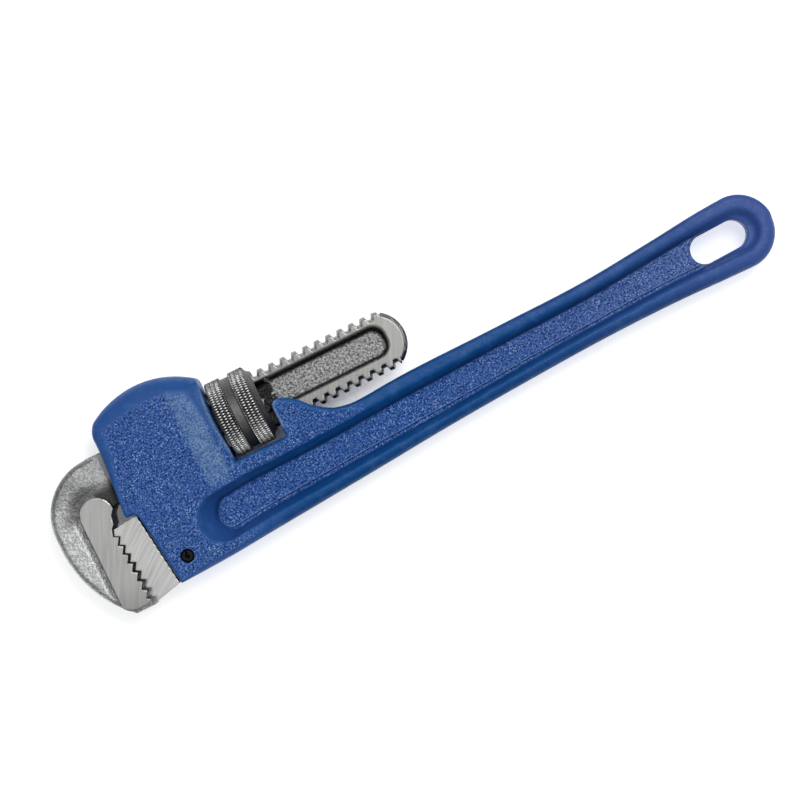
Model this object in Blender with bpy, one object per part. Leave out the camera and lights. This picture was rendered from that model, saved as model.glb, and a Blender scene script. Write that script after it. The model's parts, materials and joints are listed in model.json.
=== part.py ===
"""Straight pipe wrench of the 350 mm class, lying on its side with the jaws closed.

The drawing frame is in millimetres: its origin is the nut's centre, +X runs along the shank towards the
handle's end, +Y points to the shank's back and +Z is the tool's thickness. Everything is then moved so that
the world's origin is the bottom centre of the closed tool's box.
"""

import math

import bmesh
import bpy
from mathutils import Vector

MM = 0.001

# Reach of the cutters: past everything they cut, and a little past a surface
CLEAR_OF_ALL = 20.0
FAR = (-CLEAR_OF_ALL, CLEAR_OF_ALL)
OVERCUT = 0.5

# Overall limits of the closed tool
HOOK_TIP_X = -90.6
HANDLE_END_X = 231.9
DOME_TOP_Y = 29.2
HOOK_FOOT_Y = -55.7
NUT_RADIUS = 16.5
FRAME_ORIGIN = Vector(
    ((HOOK_TIP_X + HANDLE_END_X) / 2, (DOME_TOP_Y + HOOK_FOOT_Y) / 2, -NUT_RADIUS)
)

# Screw thread of the shank and the nut: one start, right-handed
PITCH = 5.25
THREAD_RADIUS = 12.5
ROOT_RADIUS = 10.4
CREST_WIDTH = 1.9
ROOT_WIDTH = 1.6
CREST_AT_BACK_X = 14.7
THREAD_FROM_X = -13.0
THREAD_TO_X = 68.5
TURN_SEGMENTS = 32
THREAD_TRIM = 0.4

# Shank and its side pockets
SHANK_HALF_THICKNESS = 5.4
SHANK_BACK_Y = 10.4
SHANK_FRONT_Y = -11.9
SHANK_END_X = 75.7
SHANK_END_CHAMFER = 1.4
SHANK_END_PLAY = 0.05
SHANK_FROM_X = -60.5
SHANK_BODY_FROM_X = -62.0
THREAD_RUNOUT = ((-2.0, 0.5), (-0.3, 11.6), (0.6, THREAD_RADIUS))
SHANK_POCKET_DEPTH = 1.9
SHANK_POCKET_WALL_RUN = 0.9
SHANK_POCKET = (-41.0, 68.0, -5.9, 7.8)
SHANK_POCKET_CORNER = 5.0

# Hook
HOOK_TOP_CENTRE = (-66.0, -14.3)
HOOK_TOP_RADIUS = 24.6
HOOK_BACK_CENTRE = (-39.6, -18.6)
HOOK_BACK_RADIUS = 51.0
HOOK_BACK_END_DEG = 223.0
HOOK_HALF_THICKNESS = 8.4
HOOK_EDGE_ROUND = 5.0
HOOK_INNER_ROUND = 1.2
HOOK_OUTER_X = -72.0
PAD_HALF_THICKNESS = 9.7
PAD_EDGE_BREAK = 0.5
PAD_LEFT_X = -77.9
PAD_TOP_CENTRE = (-70.7, -12.3)
PAD_TOP_RADIUS = 7.2
PAD_FOOT_LEFT = (-74.0, HOOK_FOOT_Y)
PAD_LEFT_END_Y = -51.6
HOOK_NECK_X = -58.0
HOOK_NECK_TRIM_X = -61.0
HOOK_FOOT_LEFT_X = -74.2
TOOTH_SIDE_FOOT = (-65.6, HOOK_FOOT_Y)
TOOTH_SIDE_TOP = (-66.3, -19.5)
THROAT_CURVE = ((-65.4, -15.0), (-63.4, -12.6))
TEETH_RELIEF_TOP = ((-66.6, -19.0), (-67.7, -20.4))
TEETH_RELIEF_FOOT = (-65.3, HOOK_FOOT_Y - 2.0)
TEETH_RELIEF_FAR_X = -50.0

# Teeth of the two jaws
TOOTH_PITCH = 4.09
TOOTH_DEPTH = 2.0
TOOTH_STEEP_SHARE = 0.29
TOOTH_COUNT = 8
LOWEST_VALLEY = (-67.45, -51.8)
HOOK_TEETH_LEAN_DEG = 2.2
HEEL_TEETH_LEAN_DEG = 5.5
TEETH_GAP_AT_TOP = 0.5

# Heel jaw
HEEL_HALF_THICKNESS = 9.6
HEEL_EDGE_BREAK = 0.35
HEEL_TOP_RIGHT = (-56.4, -19.35)
HEEL_FOOT_RIGHT = (-52.6, -52.1)
HEEL_FOOT_LEFT_Y = -54.7
HEEL_TOP_LEFT_Y = -20.7
TONGUE_HALF_THICKNESS = 4.6
HEEL_FOOT_SHIFT = 0.3
HEEL_TOP_SHIFT = 0.9
TONGUE_BOX = (-39.0, -49.5, -27.0)
TONGUE_ROOT_X = -56.5
TONGUE_CORNER = 3.0
PIN_AT = (-44.4, -43.5)
PIN_RADIUS = 2.6
PIN_BORE_RADIUS = 1.2
PIN_HALF_LENGTH = 12.6
PIN_SLIT = 0.8
PIN_CLEARANCE = 0.15
PIN_TIP_TAPER = 0.4
PIN_TIP_LENGTH = 0.8
FIT_GAP = 0.4

# Head of the casting
HEAD_HALF_THICKNESS = 14.0
HEAD_LIP = (-60.0, -18.75)
HEAD_FRONT_TOP = (-57.6, 16.5)
DOME_CENTRE = (-34.0, -9.8)
DOME_RADIUS = 39.0
DOME_ROUND = 6.4
HEAD_EDGE_ROUND = 1.4
HEAD_SLOPE_RUN = 10.0
HEAD_SLOPE_DROP = 2.6
HEAD_SLOPE_FROM_X = -17.9
HEAD_SLOPE_TO_Y = 19.0
DOME_ROUND_FROM_Y = 15.0
DOME_ROUND_GROWTH = 8.0
HEAD_REAR_X = -9.9
HEAD_REAR_EDGE = ((-11.4, -30.0), (HEAD_REAR_X, -16.0), (HEAD_REAR_X, 18.0))
HEAD_FRONT_CORNER = (-57.2, 20.6)
HEAD_SEAT_TOP = ((-56.6, HEAD_LIP[1]), (-55.3, -20.6))
HEAD_FOOT_LEFT = (-51.6, -52.7)
HEAD_FOOT_RIGHT = (-16.0, -50.2)

# Passage of the shank, nut window and saddle
CHANNEL_TOP_Y = 12.95
CHANNEL_FLOOR_Y = -15.4
CHANNEL_HALF_WIDTH = 5.95
CHANNEL_FROM_X = -70.0
CHANNEL_TO_X = 45.0
WINDOW_FLOOR_Y = -17.4
WINDOW_REAR_X = 13.7
WINDOW_TROUGH_RADIUS = 18.9
WINDOW_OVERLAP = 0.1
WINDOW_STEP = 0.02
SADDLE_HALF_THICKNESS = 11.6
SADDLE_TOP_Y = -1.7
SADDLE_EDGE_ROUND = 0.8
SADDLE_ROOT_Y = -24.0
SADDLE_CURVE = (
    (40.7, -17.2),
    (35.3, -16.2),
    (31.9, -13.9),
    (29.3, -11.7),
    (27.0, -9.6),
    (24.7, -6.9),
    (21.8, -4.3),
    (18.6, -2.5),
    (15.6, SADDLE_TOP_Y),
)

# Handle: (x, top y, bottom y, half thickness) of its sections
HANDLE_SECTIONS = (
    (-44.0, -24.0, -52.75, 13.4),
    (-28.0, -19.5, -51.4, 13.0),
    (-10.0, -17.4, -49.6, 12.0),
    (14.0, -17.4, -47.8, 11.4),
    (36.0, -16.7, -46.3, 10.4),
    (61.0, -16.1, -44.6, 9.4),
    (112.0, -15.2, -41.3, 8.4),
    (150.0, -14.5, -39.6, 7.9),
    (182.0, -11.9, -39.3, 7.6),
    (207.0, -9.6, -40.0, 7.5),
)
EYE_CENTRE = (216.4, -24.7)
EYE_RADIUS = 15.5
EYE_HALF_THICKNESS = 7.4
EYE_TIP_DROP = 3.0
EYE_LAST_DEG = 84.0
HANDLE_EDGE_ROUND = 4.0
FULLEST_ROUND = 0.9
BEAM_STEPS = 18
EYE_STEPS = 8

# Pocket in each side of the handle: centre line, half heights at its crest, and slope of its walls
POCKET_LEFT = (-25.4, -34.9)
POCKET_RIGHT = (215.8, -24.7)
POCKET_HALF_HEIGHTS = ((-25.4, 9.9), (20.0, 9.8), (70.0, 9.2), (143.0, 8.6), (184.0, 8.9), (215.8, 9.5))
POCKET_WALL_RUN = 3.6
POCKET_LEFT_RUN = 9.0
POCKET_MOUTH_GROWTH = 1.2
POCKET_STEPS = 14
WEB_HALF_THICKNESS = 3.6

# Hanging slot
SLOT_CENTRE = (207.9, -24.7)
SLOT_HALF_LENGTH = 12.65
SLOT_HALF_WIDTH = 6.05
SLOT_TILT_DEG = 2.1

# Adjusting nut
NUT_FRONT_X = -8.7
NUT_REAR_X = 8.7
NUT_GROOVE_HALF_WIDTH = 1.7
NUT_GROOVE_DEPTH = 1.1
NUT_GROOVE_FLANK = 0.5
NUT_RIM_CHAMFER = 0.7
NUT_HUB_X = 10.9
NUT_HUB_RADIUS = 13.9
THREAD_RADIAL_PLAY = 0.4
THREAD_SIDE_PLAY = 0.3

# Springs
LEAF_FROM_X = -53.0
LEAF_TO_X = -13.5
LEAF_THICKNESS = 0.7
LEAF_HALF_WIDTH = 4.6
LEAF_BOW = 0.45
LEAF_TOP_Y = -12.85
LEAF_STEPS = 12
COIL_X = -23.0
COIL_TOP_Y = -14.5
COIL_BOTTOM_Y = -22.4
COIL_RADIUS = 3.1
COIL_WIRE_RADIUS = 0.5
COIL_TURNS = 4.5
COIL_STEPS_PER_TURN = 14
COIL_POCKET_RADIUS = 4.1
COIL_POCKET_FLOOR_Y = -22.8

# Joint of the floating jaw
ROCK_PIVOT = (-57.0, 12.9, 0.0)


def clear_scene():
    for old in list(bpy.data.objects):
        bpy.data.objects.remove(old, do_unlink=True)


def world(point):
    """A drawing point in the world's metres."""
    return (Vector(point) - FRAME_ORIGIN) * MM


def metal(name, color, roughness, metallic):
    made = bpy.data.materials.new(name)
    made.use_nodes = True
    shader = made.node_tree.nodes["Principled BSDF"]
    shader.inputs["Base Color"].default_value = (*color, 1.0)
    shader.inputs["Roughness"].default_value = roughness
    shader.inputs["Metallic"].default_value = metallic
    made.diffuse_color = (*color, 1.0)
    return made


def arc(centre, radius, from_deg, to_deg, steps):
    """Points along an arc, both ends included."""
    angles = [math.radians(from_deg + (to_deg - from_deg) * i / steps) for i in range(steps + 1)]
    return [(centre[0] + radius * math.cos(a), centre[1] + radius * math.sin(a)) for a in angles]


def rounded(points, radii, steps=4):
    """A polygon whose corners are replaced by arcs; a radius of 0 keeps the corner."""
    made = []
    for index, point in enumerate(points):
        radius = radii[index]
        corner = Vector(point)
        before = Vector(points[index - 1]) - corner
        after = Vector(points[(index + 1) % len(points)]) - corner
        if radius == 0:
            made.append(tuple(corner))
            continue
        half = before.angle(after) / 2
        reach = radius / math.tan(half)
        centre = corner + (before.normalized() + after.normalized()).normalized() * radius / math.sin(half)
        first = corner + before.normalized() * reach - centre
        turn = first.angle_signed(corner + after.normalized() * reach - centre)
        base = math.atan2(first.y, first.x)
        for step in range(steps + 1):
            angle = base - turn * step / steps
            made.append((centre.x + radius * math.cos(angle), centre.y + radius * math.sin(angle)))
    return made


def smooth_value(table, x):
    """Value of a smooth curve through a table of (x, value)."""
    if x <= table[0][0]:
        return table[0][1]
    for index in range(len(table) - 1):
        (x0, y0), (x1, y1) = table[index][:2], table[index + 1][:2]
        if x <= x1:
            before = table[max(index - 1, 0)]
            after = table[min(index + 2, len(table) - 1)]
            slope0 = (y1 - before[1]) / (x1 - before[0])
            slope1 = (after[1] - y0) / (after[0] - x0)
            t = (x - x0) / (x1 - x0)
            span = x1 - x0
            return (
                (2 * t**3 - 3 * t**2 + 1) * y0
                + (t**3 - 2 * t**2 + t) * span * slope0
                + (3 * t**2 - 2 * t**3) * y1
                + (t**3 - t**2) * span * slope1
            )
    return table[-1][1]


def object_from(name, bm, pivot=(0.0, 0.0, 0.0), smooth_deg=30):
    """An object from a bmesh in drawing millimetres, with its origin on the pivot."""
    bmesh.ops.recalc_face_normals(bm, faces=bm.faces)
    bmesh.ops.translate(bm, verts=bm.verts, vec=-Vector(pivot))
    bmesh.ops.scale(bm, verts=bm.verts, vec=(MM, MM, MM))
    mesh = bpy.data.meshes.new(name)
    bm.to_mesh(mesh)
    bm.free()
    mesh.shade_smooth()
    mesh.set_sharp_from_angle(angle=math.radians(smooth_deg))
    made = bpy.data.objects.new(name, mesh)
    made.location = world(pivot)
    bpy.context.scene.collection.objects.link(made)
    return made


def rings_mesh(rings):
    """A closed bmesh through rings with the same number of points, capped at both ends."""
    bm = bmesh.new()
    rows = [[bm.verts.new(point) for point in ring] for ring in rings]
    for low, high in zip(rows, rows[1:]):
        for i in range(len(low)):
            j = (i + 1) % len(low)
            bm.faces.new((low[i], low[j], high[j], high[i]))
    bm.faces.new(list(reversed(rows[0])))
    bm.faces.new(rows[-1])
    return bm


def prism(name, outline, low_z, high_z, pivot=(0.0, 0.0, 0.0)):
    """The outline extruded along Z."""
    rings = [[(x, y, z) for x, y in outline] for z in (low_z, high_z)]
    return object_from(name, rings_mesh(rings), pivot)


def offset(outline, distances):
    """The counter-clockwise outline moved inwards, point by point."""
    moved = []
    for index, point in enumerate(outline):
        here = Vector(point)
        back = (here - Vector(outline[index - 1])).normalized()
        ahead = (Vector(outline[(index + 1) % len(outline)]) - here).normalized()
        normal = (Vector((-back.y, back.x)) + Vector((-ahead.y, ahead.x))).normalized()
        mitre = max(0.5, normal.dot(Vector((-back.y, back.x))))
        moved.append(tuple(here + normal * distances[index] / mitre))
    return moved


def pillow(name, outline, half, rims, steps=3, pivot=(0.0, 0.0, 0.0)):
    """A slab of half thickness half; rims holds one (inset, drop) of the rounded rim per outline point."""
    rings = []
    for side in (-1, 1):
        order = range(steps, -1, -1) if side < 0 else range(steps + 1)
        for step in order:
            angle = math.pi / 2 * step / steps
            inset = offset(outline, [rim[0] * (1 - math.cos(angle)) for rim in rims])
            drops = [rim[1] * (1 - math.sin(angle)) for rim in rims]
            rings.append([(x, y, side * (half - drop)) for (x, y), drop in zip(inset, drops)])
    return object_from(name, rings_mesh(rings), pivot, smooth_deg=40)


def turned(name, profile, segments=48, pivot=(0.0, 0.0, 0.0)):
    """A solid turned about the X axis through the pivot; the profile is a list of (x, radius)."""
    angles = [2 * math.pi * i / segments for i in range(segments)]
    rings = [[(x, r * math.cos(a), r * math.sin(a)) for a in angles] for x, r in profile]
    return object_from(name, rings_mesh(rings), pivot)


def box(name, low, high, pivot=(0.0, 0.0, 0.0)):
    outline = [(low[0], low[1]), (high[0], low[1]), (high[0], high[1]), (low[0], high[1])]
    return prism(name, outline, low[2], high[2], pivot)


def combine(target, tool, operation):
    """Adds a Boolean to the target and hides the tool."""
    step = target.modifiers.new(tool.name, "BOOLEAN")
    step.operation = operation
    step.solver = "EXACT"
    step.object = tool
    tool.hide_render = True
    tool.display_type = "WIRE"


def cut(target, *tools):
    for tool in tools:
        combine(target, tool, "DIFFERENCE")


def join(target, *tools):
    for tool in tools:
        combine(target, tool, "UNION")


def thread_profile(play, side_play):
    """(x offset, radius) of one pitch of thread from root to root, grown by the play."""
    flank = (PITCH - CREST_WIDTH - ROOT_WIDTH) / 2
    crest = CREST_WIDTH / 2 + side_play
    foot = CREST_WIDTH / 2 + flank + side_play
    return [
        (-foot, ROOT_RADIUS + play),
        (-crest, THREAD_RADIUS + play),
        (crest, THREAD_RADIUS + play),
        (foot, ROOT_RADIUS + play),
    ]


def thread_rod(name, low_x, high_x, play=0.0, side_play=0.0, pivot=(0.0, 0.0, 0.0)):
    """A threaded rod about the X axis whose crests pass the shank's back at CREST_AT_BACK_X."""
    first = math.floor((low_x - CREST_AT_BACK_X) / PITCH) - 1
    last = math.ceil((high_x - CREST_AT_BACK_X) / PITCH) + 1
    profile = thread_profile(play, side_play)
    bm = bmesh.new()
    rows = []
    for turn in range(first, last + 1):
        for shift, radius in profile:
            row = []
            for i in range(TURN_SEGMENTS):
                angle = 2 * math.pi * i / TURN_SEGMENTS
                x = CREST_AT_BACK_X + shift + PITCH * (turn + i / TURN_SEGMENTS)
                row.append(bm.verts.new((x, radius * math.cos(angle), radius * math.sin(angle))))
            rows.append(row)
    per_turn = len(profile)
    for k in range(len(rows) - 1):
        for i in range(TURN_SEGMENTS - 1):
            bm.faces.new((rows[k][i], rows[k + 1][i], rows[k + 1][i + 1], rows[k][i + 1]))
    for k in range(len(rows) - 1 - per_turn):
        bm.faces.new(
            (rows[k + per_turn][0], rows[k][-1], rows[k + 1][-1], rows[k + 1 + per_turn][0])
        )
    start = bm.verts.new((CREST_AT_BACK_X + PITCH * (first - 1), 0, 0))
    rim = [row[0] for row in rows[per_turn:0:-1]] + rows[0]
    finish = bm.verts.new((CREST_AT_BACK_X + PITCH * (last + 2), 0, 0))
    far_rim = [row[-1] for row in rows[-1 - per_turn : -1]] + list(reversed(rows[-1]))
    for centre, loop in ((start, rim), (finish, far_rim)):
        for i in range(len(loop)):
            bm.faces.new((centre, loop[i], loop[(i + 1) % len(loop)]))
    return object_from(name, bm, pivot)


def teeth_line(start, lean_deg, first_share):
    """Sawtooth corners downwards from the start, in pairs: one on the line and one off it below."""
    lean = math.tan(math.radians(lean_deg))
    points = []
    for tooth in range(TOOTH_COUNT):
        for share, depth in ((0.0, 0.0), (first_share, TOOTH_DEPTH)):
            down = TOOTH_PITCH * (tooth + share)
            points.append((start[0] + down * lean + depth, start[1] - down))
    return points


def hook_teeth():
    """Valleys of the hook's teeth with the tip below each; the steep flank faces the throat."""
    rise = TOOTH_PITCH * (TOOTH_COUNT - 1)
    top_x = LOWEST_VALLEY[0] - rise * math.tan(math.radians(HOOK_TEETH_LEAN_DEG))
    return teeth_line((top_x, LOWEST_VALLEY[1] + rise), HOOK_TEETH_LEAN_DEG, TOOTH_STEEP_SHARE)


def heel_teeth():
    """Tips of the heel's teeth with the valley below each, in mesh with the hook's at the top."""
    top_x, top_y = hook_teeth()[0]
    return teeth_line((top_x + TEETH_GAP_AT_TOP, top_y), HEEL_TEETH_LEAN_DEG, TOOTH_STEEP_SHARE)


# ---------------------------------------------------------------- hook jaw


def hook_outline():
    """Outline of the hook, without teeth, from the neck round the back to the tooth side."""
    back = arc(HOOK_BACK_CENTRE, HOOK_BACK_RADIUS, 180, HOOK_BACK_END_DEG, 8)
    return (
        [(HOOK_NECK_X, SHANK_BACK_Y)]
        + arc(HOOK_TOP_CENTRE, HOOK_TOP_RADIUS, 90, 180, 10)
        + back
        + [(HOOK_FOOT_LEFT_X, HOOK_FOOT_Y), TOOTH_SIDE_FOOT, TOOTH_SIDE_TOP]
        + [*THROAT_CURVE, (HOOK_NECK_X, SHANK_FRONT_Y)]
    )


def pad_outline():
    """The milled side pad: a bar with a round top whose right side is the tooth side."""
    return (
        arc(PAD_TOP_CENTRE, PAD_TOP_RADIUS, -25, 180, 12)
        + [(PAD_LEFT_X, PAD_LEFT_END_Y), PAD_FOOT_LEFT, TOOTH_SIDE_FOOT, TOOTH_SIDE_TOP]
    )


def shank_bar():
    """Envelope of the shank: a flat bar with a round, chamfered end."""
    radius = THREAD_RADIUS + SHANK_END_PLAY
    centre = (SHANK_END_X - radius, 0.0)
    outline = [(SHANK_FROM_X, radius), (SHANK_FROM_X, -radius)] + arc(centre, radius, -90, 90, 12)
    chamfers = [SHANK_END_CHAMFER if x > THREAD_TO_X else 0.0 for x, y in outline]
    rims = [(chamfer, chamfer) for chamfer in chamfers]
    return pillow("shank_envelope", outline, SHANK_HALF_THICKNESS, rims, steps=1)


def shank_pocket(side):
    low_x, high_x, low_y, high_y = SHANK_POCKET
    corners = [(low_x, low_y), (high_x, low_y), (high_x, high_y), (low_x, high_y)]
    mouth = rounded(corners, [SHANK_POCKET_CORNER] * 4)
    floor = offset(mouth, [SHANK_POCKET_WALL_RUN] * len(mouth))
    depths = (SHANK_HALF_THICKNESS - SHANK_POCKET_DEPTH, SHANK_HALF_THICKNESS + OVERCUT)
    rings = [[(x, y, side * depths[0]) for x, y in floor], [(x, y, side * depths[1]) for x, y in mouth]]
    return object_from(f"shank_pocket_cutter_{'front' if side > 0 else 'back'}", rings_mesh(rings))


def slab(name, xs, ys=FAR, zs=FAR):
    """A box between the two limits on each axis; FAR clears the shank and the hook."""
    return box(name, (xs[0], ys[0], zs[0]), (xs[1], ys[1], zs[1]))


def threaded_shank():
    """Flat bar with the screw thread on its two edges, a plain round end and a pocket in each side."""
    shank = thread_rod("hook_jaw", THREAD_FROM_X - PITCH, THREAD_TO_X + PITCH)
    cut(shank, slab("thread_end_trim", (THREAD_TO_X + THREAD_TRIM, SHANK_END_X + CLEAR_OF_ALL)))
    runout = [(THREAD_TO_X + ahead, radius) for ahead, radius in THREAD_RUNOUT]
    join(shank, turned("shank_end_core", runout + [(SHANK_END_X + OVERCUT, THREAD_RADIUS)]))
    cut(shank, slab("thread_start_trim", (THREAD_FROM_X - CLEAR_OF_ALL, THREAD_FROM_X - THREAD_TRIM)))
    body = slab("shank_body", (SHANK_BODY_FROM_X, THREAD_FROM_X), (SHANK_FRONT_Y, SHANK_BACK_Y))
    join(shank, body)
    combine(shank, shank_bar(), "INTERSECT")
    cut(shank, shank_pocket(1), shank_pocket(-1))
    return shank


def hook_jaw(material):
    """One forging: hook with pads and teeth, neck, and flat threaded shank."""
    shank = threaded_shank()
    outline = hook_outline()
    rounds = [HOOK_EDGE_ROUND if x < HOOK_OUTER_X or y > 0 else HOOK_INNER_ROUND for x, y in outline]
    rims = [(r, r) for r in rounds]
    hook = pillow("hook_forging", outline, HOOK_HALF_THICKNESS, rims)
    pad_rims = [(PAD_EDGE_BREAK, PAD_EDGE_BREAK)] * len(pad_outline())
    pads = pillow("hook_pads", pad_outline(), PAD_HALF_THICKNESS, pad_rims, steps=1)
    join(hook, pads)
    far_side = [(TEETH_RELIEF_FAR_X, TEETH_RELIEF_FOOT[1]), (TEETH_RELIEF_FAR_X, TEETH_RELIEF_TOP[0][1])]
    relief = [*TEETH_RELIEF_TOP, *hook_teeth(), TEETH_RELIEF_FOOT, *far_side]
    cut(hook, prism("hook_teeth_cutter", relief, -CLEAR_OF_ALL, CLEAR_OF_ALL))
    neck = (HOOK_NECK_TRIM_X, HOOK_NECK_X + CLEAR_OF_ALL)
    cut(hook, slab("neck_trim", neck, FAR, (SHANK_HALF_THICKNESS, CLEAR_OF_ALL)))
    cut(hook, slab("neck_trim_back", neck, FAR, (-CLEAR_OF_ALL, -SHANK_HALF_THICKNESS)))
    join(shank, hook)
    shank.data.materials.append(material)
    return shank


# ---------------------------------------------------------------- heel jaw and its pin


def heel_outline():
    """The ground insert: its teeth mesh with the hook's at the top and open towards the mouth."""
    saw = heel_teeth()
    foot = (saw[-1][0] - HEEL_FOOT_SHIFT, HEEL_FOOT_LEFT_Y)
    return saw + [foot, HEEL_FOOT_RIGHT, HEEL_TOP_RIGHT, (saw[0][0] + HEEL_TOP_SHIFT, HEEL_TOP_LEFT_Y)]


def pin_circle():
    """Outline of the round hole that the pin sits in."""
    return arc(PIN_AT, PIN_RADIUS + PIN_CLEARANCE, 0, 345, 23)


def heel_jaw(material):
    outline = heel_outline()
    rims = [(HEEL_EDGE_BREAK, HEEL_EDGE_BREAK)] * len(outline)
    jaw = pillow("heel_jaw", outline, HEEL_HALF_THICKNESS, rims, steps=1)
    rear_x, low_y, high_y = TONGUE_BOX
    corners = [(TONGUE_ROOT_X, low_y), (rear_x, low_y), (rear_x, high_y), (TONGUE_ROOT_X, high_y)]
    sides = rounded(corners, [0, TONGUE_CORNER, TONGUE_CORNER, 0])
    join(jaw, prism("heel_tongue", sides, -TONGUE_HALF_THICKNESS, TONGUE_HALF_THICKNESS))
    hole = prism("tongue_hole", pin_circle(), -HEEL_HALF_THICKNESS, HEEL_HALF_THICKNESS)
    cut(jaw, hole)
    jaw.data.materials.append(material)
    return jaw


def heel_jaw_pin(material):
    """A slotted spring pin, chamfered at both ends."""
    slit_deg = math.degrees(PIN_SLIT / 2 / PIN_RADIUS)
    inner_slit_deg = math.degrees(PIN_SLIT / 2 / PIN_BORE_RADIUS)
    rings = []
    for z, radius in (
        (-PIN_HALF_LENGTH, PIN_RADIUS - PIN_TIP_TAPER),
        (-PIN_HALF_LENGTH + PIN_TIP_LENGTH, PIN_RADIUS),
        (PIN_HALF_LENGTH - PIN_TIP_LENGTH, PIN_RADIUS),
        (PIN_HALF_LENGTH, PIN_RADIUS - PIN_TIP_TAPER),
    ):
        outer = arc(PIN_AT, radius, 90 + slit_deg, 450 - slit_deg, 20)
        inner = arc(PIN_AT, PIN_BORE_RADIUS, 450 - inner_slit_deg, 90 + inner_slit_deg, 12)
        rings.append([(x, y, z) for x, y in outer + inner])
    pin = object_from("heel_jaw_pin", rings_mesh(rings), (*PIN_AT, 0.0))
    pin.data.materials.append(material)
    return pin


# ---------------------------------------------------------------- handle and housing casting


def head_outline():
    """Outline of the thick head above the heel jaw's seat, counter-clockwise from the foot."""
    return (
        [HEAD_FOOT_LEFT, HEAD_FOOT_RIGHT, *HEAD_REAR_EDGE]
        + arc(DOME_CENTRE, DOME_RADIUS, 55, 124, 12)
        + [HEAD_FRONT_CORNER, HEAD_FRONT_TOP, HEAD_LIP, *HEAD_SEAT_TOP]
    )


def head(name):
    """Thick head: a wide round over the dome, long slopes down to the handle, crisp front edges."""
    rims = []
    for x, y in head_outline():
        dome = min(1.0, max(0.0, (y - DOME_ROUND_FROM_Y) / DOME_ROUND_GROWTH))
        edge = HEAD_EDGE_ROUND + (DOME_ROUND - HEAD_EDGE_ROUND) * dome
        sloping = x > HEAD_SLOPE_FROM_X and y < HEAD_SLOPE_TO_Y
        rims.append((HEAD_SLOPE_RUN, HEAD_SLOPE_DROP) if sloping else (edge, edge))
    return pillow(name, head_outline(), HEAD_HALF_THICKNESS, rims, steps=4)


def handle_beam():
    """The handle as a loft of rounded sections that ends in a round eye."""
    tops = [(s[0], s[1]) for s in HANDLE_SECTIONS] + [(EYE_CENTRE[0], EYE_CENTRE[1] + EYE_RADIUS)]
    bottoms = [(s[0], s[2]) for s in HANDLE_SECTIONS] + [(EYE_CENTRE[0], EYE_CENTRE[1] - EYE_RADIUS)]
    halves = [(s[0], s[3]) for s in HANDLE_SECTIONS] + [(EYE_CENTRE[0], EYE_HALF_THICKNESS)]
    stations = []
    first = HANDLE_SECTIONS[0][0]
    for i in range(BEAM_STEPS + 1):
        x = first + (EYE_CENTRE[0] - first) * i / BEAM_STEPS
        stations.append((x, smooth_value(tops, x), smooth_value(bottoms, x), smooth_value(halves, x)))
    last = math.radians(EYE_LAST_DEG)
    for i in range(1, EYE_STEPS + 1):
        angle = last * i / EYE_STEPS
        reach = EYE_RADIUS * math.cos(angle)
        thin = EYE_HALF_THICKNESS - EYE_TIP_DROP * (i / EYE_STEPS) ** 4
        x = EYE_CENTRE[0] + EYE_RADIUS * math.sin(angle) / math.sin(last)
        stations.append((x, EYE_CENTRE[1] + reach, EYE_CENTRE[1] - reach, thin))
    rings = []
    for x, top, bottom, half in stations:
        corner = min(HANDLE_EDGE_ROUND, (top - bottom) / 2 * FULLEST_ROUND, half * FULLEST_ROUND)
        corners = [(bottom, -half), (top, -half), (top, half), (bottom, half)]
        rings.append([(x, y, z) for y, z in rounded(corners, [corner] * 4, steps=3)])
    return object_from("handle_beam", rings_mesh(rings), smooth_deg=40)


def saddle():
    """The hump behind the nut window, whose two cheeks guide the shank."""
    front = [(WINDOW_REAR_X, SADDLE_TOP_Y), (WINDOW_REAR_X, SADDLE_ROOT_Y)]
    outline = [(SADDLE_CURVE[0][0], SADDLE_ROOT_Y), *SADDLE_CURVE, *front]
    rims = [(SADDLE_EDGE_ROUND, SADDLE_EDGE_ROUND)] * len(outline)
    return pillow("saddle", outline, SADDLE_HALF_THICKNESS, rims, steps=2)


def pocket_cutter(side):
    """Side pocket of the I-beam with sloping walls."""
    left, right = Vector(POCKET_LEFT), Vector(POCKET_RIGHT)
    middle_xs = [left.x + (right.x - left.x) * i / POCKET_STEPS for i in range(1, POCKET_STEPS)]

    def centre_y(x):
        return left.y + (right.y - left.y) * (x - left.x) / (right.x - left.x)

    def ring(grow, left_grow, z):
        points = []
        first_half = POCKET_HALF_HEIGHTS[0][1] + grow
        for x, y in arc((0, 0), 1.0, 90, 270, 10):
            points.append((left.x + x * (first_half + left_grow), left.y + y * first_half, z))
        for x in middle_xs:
            points.append((x, centre_y(x) - smooth_value(POCKET_HALF_HEIGHTS, x) - grow, z))
        last_half = POCKET_HALF_HEIGHTS[-1][1] + grow
        for x, y in arc(tuple(right), last_half, -90, 90, 10):
            points.append((x, y, z))
        for x in reversed(middle_xs):
            points.append((x, centre_y(x) + smooth_value(POCKET_HALF_HEIGHTS, x) + grow, z))
        return points

    rings = [
        ring(-POCKET_WALL_RUN, -(POCKET_LEFT_RUN - POCKET_WALL_RUN), side * WEB_HALF_THICKNESS),
        ring(0.0, -POCKET_MOUTH_GROWTH, side * (EYE_HALF_THICKNESS + OVERCUT)),
        ring(POCKET_MOUTH_GROWTH, 0.0, side * (HEAD_HALF_THICKNESS + OVERCUT)),
    ]
    return object_from(f"pocket_cutter_{'front' if side > 0 else 'back'}", rings_mesh(rings))


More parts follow.
